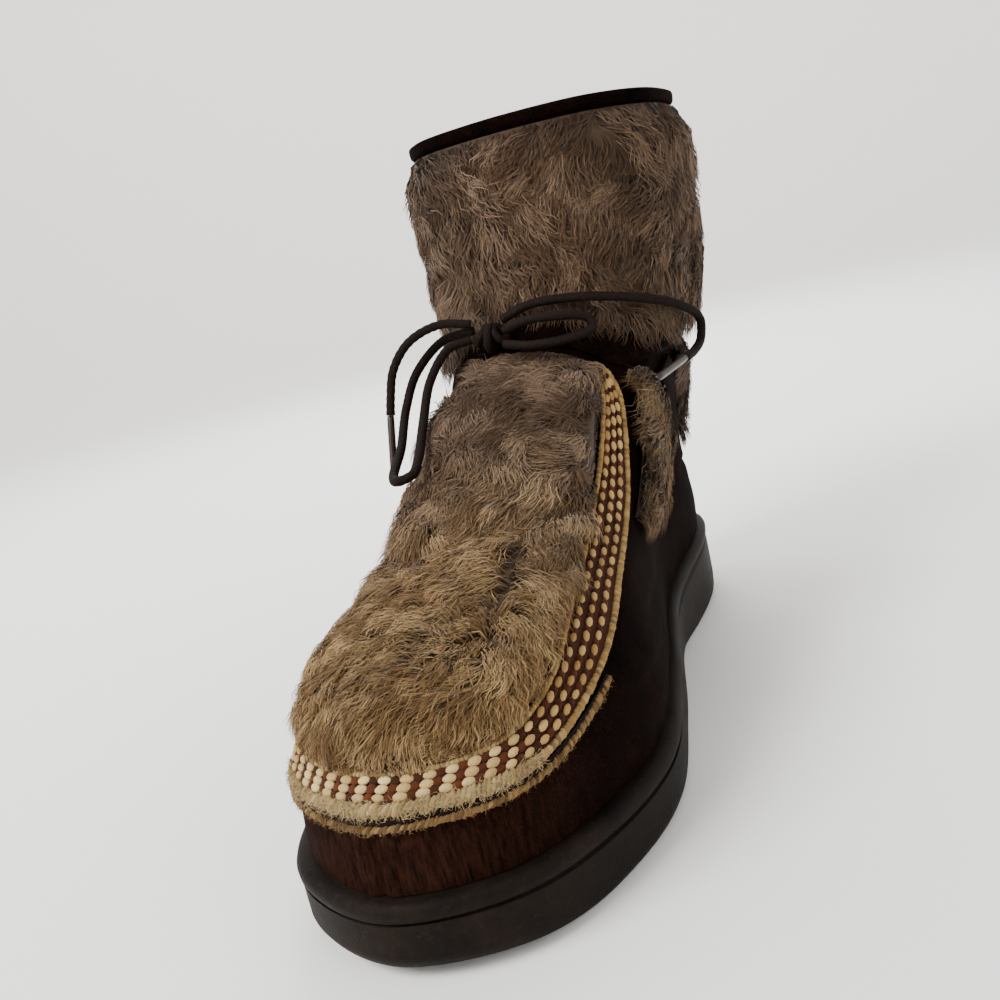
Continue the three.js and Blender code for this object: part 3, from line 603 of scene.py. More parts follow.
def route(points, step):
    """Centripetal curve through points in millimetres, as points in metres a step apart."""
    p = np.array(points, float) * MM
    p = np.vstack([2 * p[0] - p[1], p, 2 * p[-1] - p[-2]])
    fine = [p[1]]
    for a, b, c, d in zip(p, p[1:], p[2:], p[3:]):
        before, here, after = [math.sqrt(np.linalg.norm(e - s)) for s, e in ((a, b), (b, c), (c, d))]
        out = ((b - a) / before - (c - a) / (before + here) + (c - b) / here) * here
        arrive = ((c - b) / here - (d - b) / (here + after) + (d - c) / after) * here
        for t in np.linspace(0, 1, 41)[1:]:
            cubic = (2 * b - 2 * c + out + arrive) * t ** 3
            fine.append(b + out * t + (3 * c - 3 * b - 2 * out - arrive) * t ** 2 + cubic)
    fine = np.array(fine)
    run = run_along(fine)
    at = np.linspace(0, run[-1], max(3, int(run[-1] / step) + 1))
    return np.stack([np.interp(at, run, fine[:, n]) for n in range(3)], 1), run[-1]


def tube(name, path, radius, sides=18, relief=0.0, pitch=2.6 * MM, ends=(1, 1), closed=False):
    """A closed tube along a path. relief raises the criss-cross of a braided cord."""
    count = len(path)
    if closed:
        tangents = unit(np.roll(path, -1, 0) - np.roll(path, 1, 0))
    else:
        tangents = unit(np.gradient(path, axis=0))
    guide = unit(np.cross(tangents[0], (0.3, 0.2, 0.93)))
    turns = np.linspace(0, 2 * math.pi, sides, endpoint=False)
    run = run_along(path)
    rows = []
    for i in range(count):
        guide = unit(guide - tangents[i] * guide.dot(tangents[i]))
        other = np.cross(tangents[i], guide)
        twist = 2 * math.pi * run[i] / pitch
        weave = np.maximum(np.cos(LACE_STRANDS * turns + twist), np.cos(LACE_STRANDS * turns - twist))
        size = radius - relief * (1 - weave)
        if not closed:
            size *= mix(ends[0], 1, min(1, i / 2)) * mix(ends[1], 1, min(1, (count - 1 - i) / 2))
        ring = np.cos(turns)[:, None] * guide + np.sin(turns)[:, None] * other
        rows.append(path[i] + size[:, None] * ring)
    faces = []
    for i in range(count if closed else count - 1):
        for k in range(sides):
            a, b = i * sides + k, i * sides + (k + 1) % sides
            c, d = (b + sides) % (count * sides), (a + sides) % (count * sides)
            faces.append((a, b, c, d))
    if not closed:
        faces.append(tuple(range(sides - 1, -1, -1)))
        faces.append(tuple(range((count - 1) * sides, count * sides)))
    return joined(name, np.array(rows), faces)


# %% Lace pieces
for name, points in (("aglet_outer", AGLET_OUTER), ("aglet_inner", AGLET_INNER)):
    tip = tube(name + "_film", route(points, 1.0 * MM)[0], AGLET_DIAMETER / 2, 20, ends=(0.95, 0.6))
    dressed(tip, film, "aglet", name)
for name, points, end, tip in (
    ("lace_loop_outer", LOOP_OUTER, "object", None),
    ("lace_loop_inner", LOOP_INNER, "object", None),
    ("lace_end_outer", END_OUTER, "fitting", "aglet_outer"),
    ("lace_end_inner", END_INNER, "fitting", "aglet_inner"),
):
    path, length = route(points, LACE_STEP)
    run = tube(name + "_cord", path, LACE_DIAMETER / 2, relief=LACE_RELIEF)
    flat_tint(run, LACE_COLOUR)
    dressed(run, lace_finish, "lace", name)
    print(name, "length in millimetres:", round(length / MM))

# %% [markdown]
# The knot is the same cord pulled tight: a band that goes over the middle and two turns beside it
# that lean together. Three closed tubes pressed into each other read as one hard little knot.

# %% Knot
KNOT_TURNS = [
    {"middle": (0, -0.6, 0), "lean": 8, "yaw": 0, "tall": 3.9, "deep": 2.7},
    {"middle": (-3.6, 0.2, 1.2), "lean": 42, "yaw": 18, "tall": 3.1, "deep": 2.3},
    {"middle": (3.4, 0.2, 0.9), "lean": -38, "yaw": -20, "tall": 3.1, "deep": 2.3},
]
turns = []
for n, row in enumerate(KNOT_TURNS):
    angle = np.linspace(0, 2 * math.pi, 44, endpoint=False)
    oval = np.stack([0 * angle, row["deep"] * np.cos(angle), row["tall"] * np.sin(angle)], 1)
    yaw = Matrix.Rotation(math.radians(row["yaw"]), 3, "Z")
    lean = Matrix.Rotation(math.radians(row["lean"]), 3, "Y")
    oval = oval @ np.array(yaw @ lean).T + np.array(row["middle"]) + np.array(KNOT)
    turns.append(tube(f"knot_turn_{n}", oval * MM, 0.47 * LACE_DIAMETER, 16, relief=0.1 * MM, closed=True))
knot = merged("lace_knot_turns", turns)
flat_tint(knot, LACE_COLOUR)
dressed(knot, lace_finish, "lace", "lace_knot")
print("knot made of turns:", len(KNOT_TURNS))

# %% [markdown]
# The suede foot is one wall. A grid is wrapped on the last and given its thickness inwards. Wear is
# modelled as soft troughs and ridges: the toe has a butted seam that puckers, the ball of the
# foot creases where it bends, and the ankle folds above the heel.

# %% Creases of the suede
SEAM_RELIEF = 0.7 * MM
SLACK = 0.28 * MM
# from and to are a station and a ring each; the width is half the trough's, in rings
CREASES = [
    {"from": (2.3, 1.7), "to": (4.1, 1.1), "width": 0.3, "depth": 1.1 * MM},
    {"from": (3.2, 2.6), "to": (4.6, 1.6), "width": 0.35, "depth": 0.9 * MM},
    {"from": (-2.2, 1.8), "to": (-3.9, 1.0), "width": 0.3, "depth": 1.1 * MM},
    {"from": (-3.2, 2.8), "to": (-4.5, 1.7), "width": 0.35, "depth": 0.9 * MM},
    {"from": (6.2, 3.2), "to": (7.6, 2.5), "width": 0.4, "depth": 0.8 * MM},
    {"from": (-6.1, 3.2), "to": (-7.6, 2.4), "width": 0.4, "depth": 0.8 * MM},
    {"from": (4.8, 4.4), "to": (5.6, 2.5), "width": 0.45, "depth": 1.0 * MM},
    {"from": (-4.8, 4.4), "to": (-5.6, 2.4), "width": 0.45, "depth": 1.0 * MM},
    {"from": (-0.9, 1.5), "to": (-1.5, 0.4), "width": 0.3, "depth": 0.5 * MM},
    {"from": (0.9, 1.4), "to": (1.6, 0.4), "width": 0.3, "depth": 0.5 * MM},
]


def crease_depth(station, ring):
    """Troughs with a soft ridge on both sides."""
    depth = np.zeros_like(station)
    for row in CREASES:
        (s0, r0), (s1, r1) = row["from"], row["to"]
        way = np.array([s1 - s0, r1 - r0])
        t = ((station - s0) * way[0] + (ring - r0) * way[1]) / way.dot(way)
        near = np.clip(t, 0, 1)
        far = np.hypot(station - s0 - near * way[0], ring - r0 - near * way[1]) / row["width"]
        fade = np.sin(np.pi * np.clip(near, 0.03, 0.97))
        depth += row["depth"] * fade * (np.exp(-far ** 2) - 0.45 * np.exp(-(far - 1.7) ** 2))
    return depth


def toe_seam(station, ring):
    """Two lips of the butted seam, with small puckers along it."""
    fade = 1 - ease(1.6, 2.4, ring)
    far = np.abs(station)
    pucker = 1 + 0.35 * np.sin(ring * 17) * np.exp(-(far / 0.2) ** 2)
    lips = 0.7 * np.exp(-((far - 0.11) / 0.07) ** 2) * pucker
    pulls = 0.22 * np.sin(ring * 13 + 2 * far) * np.exp(-(far / 0.35) ** 2)
    return SEAM_RELIEF * fade * (lips + pulls - 1.15 * np.exp(-(far / 0.035) ** 2))


def suede_face(a, b):
    station = np.where(a > 0.5, a - 1, a) * STATIONS
    ring = b * TOP
    slack = SLACK * np.sin(station * 2.1 + ring * 0.8) * np.sin(ring * 1.3 + 0.6)
    points = surface(a, ring, toe_seam(station, ring) - crease_depth(station, ring) + slack)
    points[:, 2] = np.where(b <= 0, sole_top(points[:, 1]) + GAP, points[:, 2])
    return points


upper = wrapped("suede_foot", 256, 56, suede_face, WALL, closed=True)
dressed(upper, suede, "suede", "upper")
print("suede foot faces:", len(upper.data.polygons))

# %% [markdown]
# The sole is a moulded wedge. It starts as a circle that is extruded row by row, and each row is laid
# on the sole's outline at its own height and inset: bottom bevel, wall, groove and rolled lip. Bars
# are left between grooves that a Boolean cuts across the tread.

# %% Rows of the sole wall
EDGE_BEVEL = 2.4 * MM
LIP_HEIGHT = 4.4 * MM
LIP_GROOVE = 1.3 * MM
FEATHER_INSET = 3.6 * MM
# share of the height, lift from there, inset
SOLE_WALL = [
    (0, 0, EDGE_BEVEL * 2.4),
    (0, 0, EDGE_BEVEL),
    (0, 0.25 * EDGE_BEVEL, 0.55 * EDGE_BEVEL),
    (0, EDGE_BEVEL, 0.15 * EDGE_BEVEL),
    (0.22, 0, 0),
    (0.5, 0, 0),
    (0.7, 0, 0.05 * MM),
    (1, -1.62 * LIP_HEIGHT, 0.15 * MM),
    (1, -1.45 * LIP_HEIGHT, 0.3 * MM),
    (1, -1.3 * LIP_HEIGHT, 0.8 * LIP_GROOVE),
    (1, -1.22 * LIP_HEIGHT, LIP_GROOVE),
    (1, -1.12 * LIP_HEIGHT, 0.75 * LIP_GROOVE),
    (1, -1.02 * LIP_HEIGHT, 0.1 * MM),
    (1, -0.85 * LIP_HEIGHT, -0.3 * MM),
    (1, -0.5 * LIP_HEIGHT, -0.4 * MM),
    (1, -0.25 * LIP_HEIGHT, 0.05 * MM),
    (1, -0.08 * LIP_HEIGHT, 0.25 * FEATHER_INSET),
    (1, 0, 0.6 * FEATHER_INSET),
    (1, 0, 1.6 * FEATHER_INSET),
]
SOLE_POINTS = 280


def outline(count, inset):
    first = (TOE_MIDDLE, TOE, 0)
    last = (HEEL_MIDDLE, HEEL_BACK, 0)
    y = TOE + LAST[:, 0] * SOLE_LENGTH
    inner = np.stack([LAST[:, 2] + LAST[:, 1] / 2, y, 0 * y], 1)
    outer = np.stack([LAST[:, 2] - LAST[:, 1] / 2, y, 0 * y], 1)[::-1]
    points = np.vstack([first, inner, last, outer])
    u = np.arange(count) / count
    stack = np.broadcast_to(points, (count,) + points.shape)
    way = loop_point(stack, u + 0.002) - loop_point(stack, u - 0.002)
    inwards = unit(np.stack([-way[:, 1], way[:, 0], 0 * u], 1))
    return loop_point(stack, u) + inwards * inset


def extruded_rows(name, rows, count):
    """A circle extruded once for each further row, each row laid in its place, with both ends filled."""
    choose()
    bpy.ops.mesh.primitive_circle_add(vertices=count, radius=1, fill_type="NOTHING")
    piece = bpy.context.object
    piece.name = name
    bpy.ops.object.mode_set(mode="EDIT")
    bpy.ops.mesh.select_all(action="SELECT")
    for _ in rows[1:]:
        bpy.ops.mesh.extrude_edges_move()
    bpy.ops.object.mode_set(mode="OBJECT")
    piece.data.vertices.foreach_set("co", np.concatenate(rows).ravel())
    piece.data.update()
    bpy.ops.object.mode_set(mode="EDIT")
    bpy.ops.mesh.select_all(action="SELECT")
    bpy.ops.mesh.region_to_loop()
    bpy.ops.mesh.edge_face_add()
    bpy.ops.mesh.select_all(action="SELECT")
    bpy.ops.mesh.normals_make_consistent(inside=False)
    bpy.ops.object.mode_set(mode="OBJECT")
    bpy.ops.object.shade_smooth_by_angle(angle=math.radians(40))
    return piece


rows = []
for share, lift, inset in SOLE_WALL:
    points = outline(SOLE_POINTS, inset)
    points[:, 2] = mix(ground(points[:, 1]), sole_top(points[:, 1]), share) + lift
    rows.append(points)
sole = extruded_rows("rubber_sole", rows, SOLE_POINTS)
print("sole faces:", len(sole.data.polygons))

# %% Tread grooves
TREAD_DEPTH = 2 * MM
TREAD_PITCH = 14 * MM
TREAD_GAP = 5 * MM
TREAD_BORDER = 9 * MM
TREAD_SPANS = [(0.1, 0.46), (0.74, 0.97)]
edge = outline(SOLE_POINTS, TREAD_BORDER)
cutters = []
for start, end in TREAD_SPANS:
    for y in np.arange(TOE + start * SOLE_LENGTH, TOE + end * SOLE_LENGTH, TREAD_PITCH):
        near = edge[np.abs(edge[:, 1] - y) < TREAD_GAP]
        if len(near) < 2 or np.ptp(near[:, 0]) < 2 * TREAD_GAP:
            continue
        left, right = near[:, 0].min() + TREAD_GAP / 2, near[:, 0].max() - TREAD_GAP / 2
        choose()
        bpy.ops.mesh.primitive_cube_add(size=1, location=((left + right) / 2, y, float(ground(y))))
        bar = bpy.context.object
        bar.scale = (right - left, TREAD_GAP, 2 * TREAD_DEPTH)
        bpy.ops.object.transform_apply(location=True, rotation=True, scale=True)
        cutters.append(bar)
grooves = merged("tread_grooves", cutters)
choose(sole)
cut = sole.modifiers.new("tread", "BOOLEAN")
cut.object = grooves
cut.operation = "DIFFERENCE"
cut.solver = "EXACT"
bpy.ops.object.modifier_apply(modifier=cut.name)
bpy.data.objects.remove(grooves)
dressed(sole, rubber, "rubber", "outsole")
print("tread grooves:", len(cutters), "sole faces:", len(sole.data.polygons))

# %% [markdown]
# Inside the boot lies a footbed covered with pile, and the wall is lined with the same pile. Both are
# seen only from above, so they are smooth forms here, and short tufts are added at the collar later.

# %% Footbed and lining
INSOLE_THICKNESS = 4 * MM
INSOLE_EDGE = FEATHER_INSET + WALL + SEAM_RELIEF + GAP
INSOLE_POINTS = 160
LINING_THICKNESS = 1.4 * MM
LINING_DEPTH = WALL + 0.5 * MM + LINING_THICKNESS
# share of the footbed's thickness, further inset
FOOTBED = [(0, 0), (0.7, 0), (0.93, 0.4 * MM), (1, 1.4 * MM)]
rows = []
for share, inset in FOOTBED:
    points = outline(INSOLE_POINTS, INSOLE_EDGE + inset)
    points[:, 2] = sole_top(points[:, 1]) + GAP + share * INSOLE_THICKNESS
    rows.append(points)
footbed = extruded_rows("pile_footbed", rows, INSOLE_POINTS)
flat_tint(footbed, "#b9a283")
dressed(footbed, fleece, "lining", "insole")


def lining_face(a, b):
    """The face that is seen: the grid runs the other way round, so its thickness goes out to the wall."""
    return surface(-a, mix(0.6, TOP - 0.12, b), np.full_like(a, -LINING_DEPTH))


lining = wrapped("pile_lining", 96, 26, lining_face, LINING_THICKNESS, closed=True)
flat_tint(lining, "#a8916f")
dressed(lining, fleece, "lining")
print("lining faces:", len(lining.data.polygons))

# %% [markdown]
# Straps and binding are strips of the same suede, 1.9 mm thick with a crowned face. Each is a grid
# laid on the leather along its own line and given its thickness inwards.

# %% Places of the straps
STRAP_THICKNESS = 1.9 * MM
BINDING_THICKNESS = 1.6 * MM
# rings: the ankle strap's lower edge at the back, what it climbs at the front, its width
STRAP_BACK = 10.2
STRAP_CLIMB = 1.1
STRAP_RISE = 0.8
STRAP_CLEAR = 0.12
SHAFT_FUR_TOP = TOP - 0.42
HEEL_STRAP = np.array([(5.85, 3.4), (5.88, 5.6), (5.35, 7.9), (4.4, 9.2), (3.66, 9.78)])


def strap_low(u):
    from_front = np.abs(u - np.round(u)) * STATIONS
    return STRAP_BACK + STRAP_CLIMB * (1 - ease(0, 2.4, from_front))


def crown(b, edge=0.55):
    """Height of a strip's face over its width, as a share: low at both edges and full inside."""
    return mix(edge, 1, np.sqrt(np.clip(1 - np.abs(2 * b - 1) ** 3, 0, 1)))


def ankle_face(a, b):
    crumple = 0.25 * MM * np.sin(a * 67) * np.sin(a * 31 + 3 * b)
    return surface(a, strap_low(a) + b * STRAP_RISE, GAP + STRAP_THICKNESS * crown(b) + crumple)


def binding_face(a, b):
    return surface(a, mix(SHAFT_FUR_TOP + 0.06, TOP - 0.02, b), GAP + BINDING_THICKNESS * crown(b, 0.4))


def heel_strap_place(side, a, b):
    middle = between(HEEL_STRAP, b * (len(HEEL_STRAP) - 1))
    across = (a - 0.5) if side > 0 else (0.5 - a)
    station = middle[:, 0] + across * 0.6 * (1 - 0.25 * b)
    return side * station / STATIONS, middle[:, 1] + across * 0.5 * b


def heel_strap_face(side):
    def face(a, b):
        u, v = heel_strap_place(side, a, b)
        return surface(u, v, GAP + STRAP_THICKNESS * crown(a))
    return face


# %% Straps
ankle = wrapped("ankle_strap_suede", 260, 8, ankle_face, STRAP_THICKNESS * 0.5, closed=True)
dressed(ankle, suede, "suede", "ankle_strap")
binding = wrapped("collar_binding_suede", 200, 8, binding_face, BINDING_THICKNESS * 0.38, closed=True)
dressed(binding, suede, "suede", "collar_binding")
for side, word in ((1, "inner"), (-1, "outer")):
    strap = wrapped(f"heel_strap_{word}_suede", 10, 60, heel_strap_face(side), STRAP_THICKNESS * 0.5)
    dressed(strap, suede, "suede", f"heel_strap_{word}")
print("faces of ankle strap and binding:", len(ankle.data.polygons), len(binding.data.polygons))

# %% [markdown]
# A stitch is a little pillow of yarn. One is modelled from a sphere: flattened and drawn in at the
# ends. Copies of it are laid along a line on the leather and joined, each with its own colour.

# %% One stitch
choose()
bpy.ops.mesh.primitive_uv_sphere_add(segments=8, ring_count=5, radius=1, rotation=(0, math.pi / 2, 0))
pillow = bpy.context.object
bpy.ops.object.transform_apply(location=True, rotation=True, scale=True)
STITCH_POINTS = coordinates(pillow.data)
STITCH_POINTS[:, 1:] *= (1 - 0.25 * np.abs(STITCH_POINTS[:, :1]) ** 2)
STITCH_FACES = [tuple(face.vertices) for face in pillow.data.polygons]
bpy.data.objects.remove(pillow)


def stitches(name, middles, along, normal, sizes, tints, skew=0.0):
    """Joined pillows. sizes are half lengths along, across and out. skew leans each across the line."""
    along = unit(along)
    across = unit(np.cross(normal, along))
    turned = along * np.cos(skew)[:, None] + across * np.sin(skew)[:, None]
    other = np.cross(normal, turned)
    shape = STITCH_POINTS[None] * sizes[:, None, :]
    points = middles[:, None] + shape[..., :1] * turned[:, None] + shape[..., 1:2] * other[:, None]
    points = points + shape[..., 2:] * normal[:, None]
    step = len(STITCH_POINTS)
    faces = [tuple(n * step + k for k in face) for n in range(len(middles)) for face in STITCH_FACES]
    colours = np.repeat(tints[:, None, :], step, axis=1)
    return joined(name, points, faces, colours)


print("faces of a stitch:", len(STITCH_FACES))

# %% [markdown]
# The braid that frames the vamp is woven: three rows of checks, cream over rust-brown, staggered by
# half a repeat, with a thick ribbed cream cord along the outer edge. The repeat is 5.1 mm. A thin
# strip carries the stitches.

# %% Place of the braid
# stations and rings of the outer and of the inner edge, from the middle of the toe to the ankle
BRAID = np.array([
    (0, 1.75, 0, 2.62), (0.45, 1.75, 0.38, 2.56), (1.07, 1.75, 0.86, 2.6), (1.64, 2, 1.34, 2.88),
    (2.29, 2.75, 1.76, 3.55), (2.71, 3.75, 1.98, 4.5), (2.98, 5.3, 2.08, 5.8), (2.95, 6.9, 2.07, 7.1),
    (2.62, 8.4, 1.98, 8.4), (2.2, 9.5, 1.72, 9.6), (1.62, 10.25, 1.3, 10.4),
])
BRAID_END = len(BRAID) - 1
BRAID_REPEAT = 5.1 * MM
CREAM, CREAM_LIGHT, CREAM_DIRTY = "#a58756", "#cdb47f", "#6f5d42"
RUST, RUST_DARK = "#552a13", "#30170a"
# how much of its colour a stitch keeps along the side: dirt on the yarn, and painted shade where the boot
# shades the braid
CHECK_SIDE_DIRT_AND_SHADE = np.array([0.72, 0.62, 0.48, 1])
CORD_SIDE_DIRT_AND_SHADE = np.array([0.62, 0.54, 0.42, 1])
rng = np.random.default_rng(11)


def braid_place(p, share):
    """p runs from -BRAID_END over the toe to BRAID_END, and share from the inner to the outer edge."""
    row = between(BRAID, np.abs(p))
    station = mix(row[..., 2], row[..., 0], share) * np.sign(p)
    return station / STATIONS, mix(row[..., 3], row[..., 1], share)


def even_steps(place, share, start, pitch, reach):
    """Values of p that lie a pitch apart along a line, from a start, at one share of its width."""
    p = np.linspace(-reach, reach, 1600)
    run = run_along(skin(*place(p, share)))
    return np.interp(np.arange(start, run[-1], pitch), run, p)


def along_line(place, p, share):
    """Point on the leather, direction along the line and outward normal."""
    u, v = place(p, share)
    way = skin(*place(p + 0.02, share)) - skin(*place(p - 0.02, share))
    return skin(u, v), unit(way), skin_axes(u, v)[0]


def beside(p):
    """0 round the toe and 1 along the sides, where the cord tucks under and the checks spread."""
    return ease(1.5, 3.5, np.abs(p))


def shades(count, dark, light):
    return mix(linear(dark), linear(light), rng.random((count, 1)))


# %% Woven braid
def braid_base(a, b):
    u, v = braid_place(mix(-BRAID_END, BRAID_END, a) * 0.999, 1 - b)
    return surface(u, v, np.full_like(a, 1.0 * MM))


base = wrapped("braid_base", 300, 4, braid_base, 0.55 * MM)
flat_tint(base, "#3b1e10")
parts = [base]
CHECK = BRAID_REPEAT / 2
# half lengths in millimetres along, across and out
CREAM_CHECK, RUST_CHECK = (1.8, 1.16, 0.95), (1.65, 1.2, 0.75)
for n, (toe_share, side_share) in enumerate(((0.1, 0.16), (0.32, 0.42), (0.54, 0.67))):
    p = even_steps(braid_place, toe_share, CHECK / 2, CHECK, BRAID_END)
    side = beside(p)[:, None]
    spot, way, normal = along_line(braid_place, p, mix(toe_share, side_share, beside(p)))
    cream = ((np.arange(len(p)) + n) % 2 == 0)[:, None]
    size = np.where(cream, CREAM_CHECK, RUST_CHECK) * MM
    size[:, 1:] *= mix(1, np.array([0.86, 0.8]), side)
    size *= rng.uniform(0.92, 1.08, (len(p), 1))
    spot = spot + normal * np.where(cream, 1.55, 1.3) * MM
    tints = np.where(cream, shades(len(p), CREAM, CREAM_LIGHT), shades(len(p), RUST_DARK, RUST))
    # along the side the checks are darkened by dirt and by painted shade
    tints = tints * mix(1, CHECK_SIDE_DIRT_AND_SHADE, side)
    parts.append(stitches(f"checks_{n}", spot, way, normal, size, tints, rng.normal(0.1, 0.08, len(p))))
for toe_share, side_share, pitch, toe_half, side_half, lift, lean in (
    (0.84, 0.93, 1.15, 2.2, 1.15, 1.35, 1.0), (-0.06, -0.04, 1.1, 1.0, 1.0, 1.1, 0.9),
):
    p = even_steps(braid_place, toe_share, pitch * MM / 2, pitch * MM, BRAID_END)
    spot, way, normal = along_line(braid_place, p, mix(toe_share, side_share, beside(p)))
    half = mix(toe_half, side_half, beside(p))
    size = np.stack([half, np.full_like(half, 0.82 * pitch), 0.55 * half + 0.4], 1) * MM
    size *= rng.uniform(0.8, 1.12, (len(p), 3))
    spot = spot + normal * lift * MM
    dark, light = shades(len(p), CREAM_DIRTY, CREAM), shades(len(p), CREAM, CREAM_LIGHT)
    tints = mix(dark, light, rng.random((len(p), 1)))
    # the cord is dirtier round the toe, and along the side it is darkened by dirt and by painted shade
    tints = tints * mix(0.72, CORD_SIDE_DIRT_AND_SHADE, beside(p)[:, None])
    parts.append(stitches("cord", spot, way, normal, size, tints, rng.normal(lean, 0.2, len(p))))
braid = merged("woven_braid", parts)
dressed(braid, yarn, "braid", "vamp_braid")
print("braid triangles:", triangles(braid))

# %% [markdown]
# Under the braid a thin dark tape shows, with a tan corded edge that has begun to fray. The tape is a
# wrapped strip, its edge a row of small slanted stitches.

# %% Edge tape
# how far the tape reaches on each side, in rows of the braid's table; then rings and shares
TAPE_END = 4
TAPE_CLEAR = 0.07
TAPE_CORD = 0.28
TAPE_STITCH = 0.95 * MM
# width in rings at the toe and at the tape's ends
TAPE_WIDTHS = (0.36, 0.2)


def tape_place(p, share):
    """share runs from the tape's lower edge to its upper edge."""
    row = np.abs(p)
    edge = between(BRAID, row)
    width = mix(*TAPE_WIDTHS, row / TAPE_END)
    station = (edge[..., 0] + np.where(row > 2, 0.06 * (row - 2), 0)) * np.sign(p)
    return station / STATIONS, edge[..., 1] - TAPE_CLEAR - width * (1 - share)


def tape_face(a, b):
    u, v = tape_place(mix(-TAPE_END, TAPE_END, a) * 0.999, b)
    return surface(u, v, np.full_like(a, 1.2 * MM))


strip = wrapped("tape_strip", 240, 3, tape_face, 0.7 * MM)
flat_tint(strip, "#160b06")
p = even_steps(tape_place, TAPE_CORD, 0.4 * MM, TAPE_STITCH, TAPE_END)
spot, way, normal = along_line(tape_place, p, TAPE_CORD)
size = np.tile([1.2, 0.62, 0.8], (len(p), 1)) * MM * rng.uniform(0.8, 1.15, (len(p), 3))
edge_cord = stitches("tape_cord", spot + normal * 1.25 * MM, way, normal, size,
                     shades(len(p), "#46321d", "#84683f"), rng.normal(0.85, 0.2, len(p)))
tape = merged("edge_tape_strip", [strip, edge_cord])
dressed(tape, yarn, "tape", "edge_tape")
print("tape stitches:", len(p))

# %% [markdown]
# Sheepskin. A mat of dense underwool is wrapped on the leather, and thousands of tapered hairs grow
# through it. Hairs gather in locks: each lock has its own lean, wave and tone, and the tips of its
# hairs draw together. Where the fleece has been brushed, the locks lie along a flow. A particle
# system would be lost on export, so the hairs are joined ribbons made from arrays.

# %% Grow a fleece


def spread_over(place, count, rng, cells=36):
    """Random shares across and up a panel, evenly spread over its area."""
    step = 0.5 / cells
    a, b = [g.ravel() for g in np.meshgrid(*[(np.arange(cells) + 0.5) / cells] * 2)]
    over = skin(*place(a + step, b)) - skin(*place(a - step, b))
    rise = skin(*place(a, b + step)) - skin(*place(a, b - step))
    area = np.linalg.norm(np.cross(over, rise), axis=1)
    pick = rng.choice(len(area), count, p=area / area.sum())
    return a[pick] + rng.uniform(-step, step, count), b[pick] + rng.uniform(-step, step, count)


def to_edge(a, b):
    """Share of a panel between a point and the panel's nearest edge."""
    return np.minimum(np.minimum(a, 1 - a), np.minimum(b, 1 - b))


def drift(spots):
    """A slow wandering between -1 and 1 over the boot, so that neighbouring locks lean alike."""
    x, y, z = (spots / MM).T
    slow = np.sin(x / 9 + 0.7 * np.sin(y / 11)) * np.cos(z / 10 + y / 14)
    return 0.6 * slow + 0.4 * np.sin((x + y + z) / 5.5)


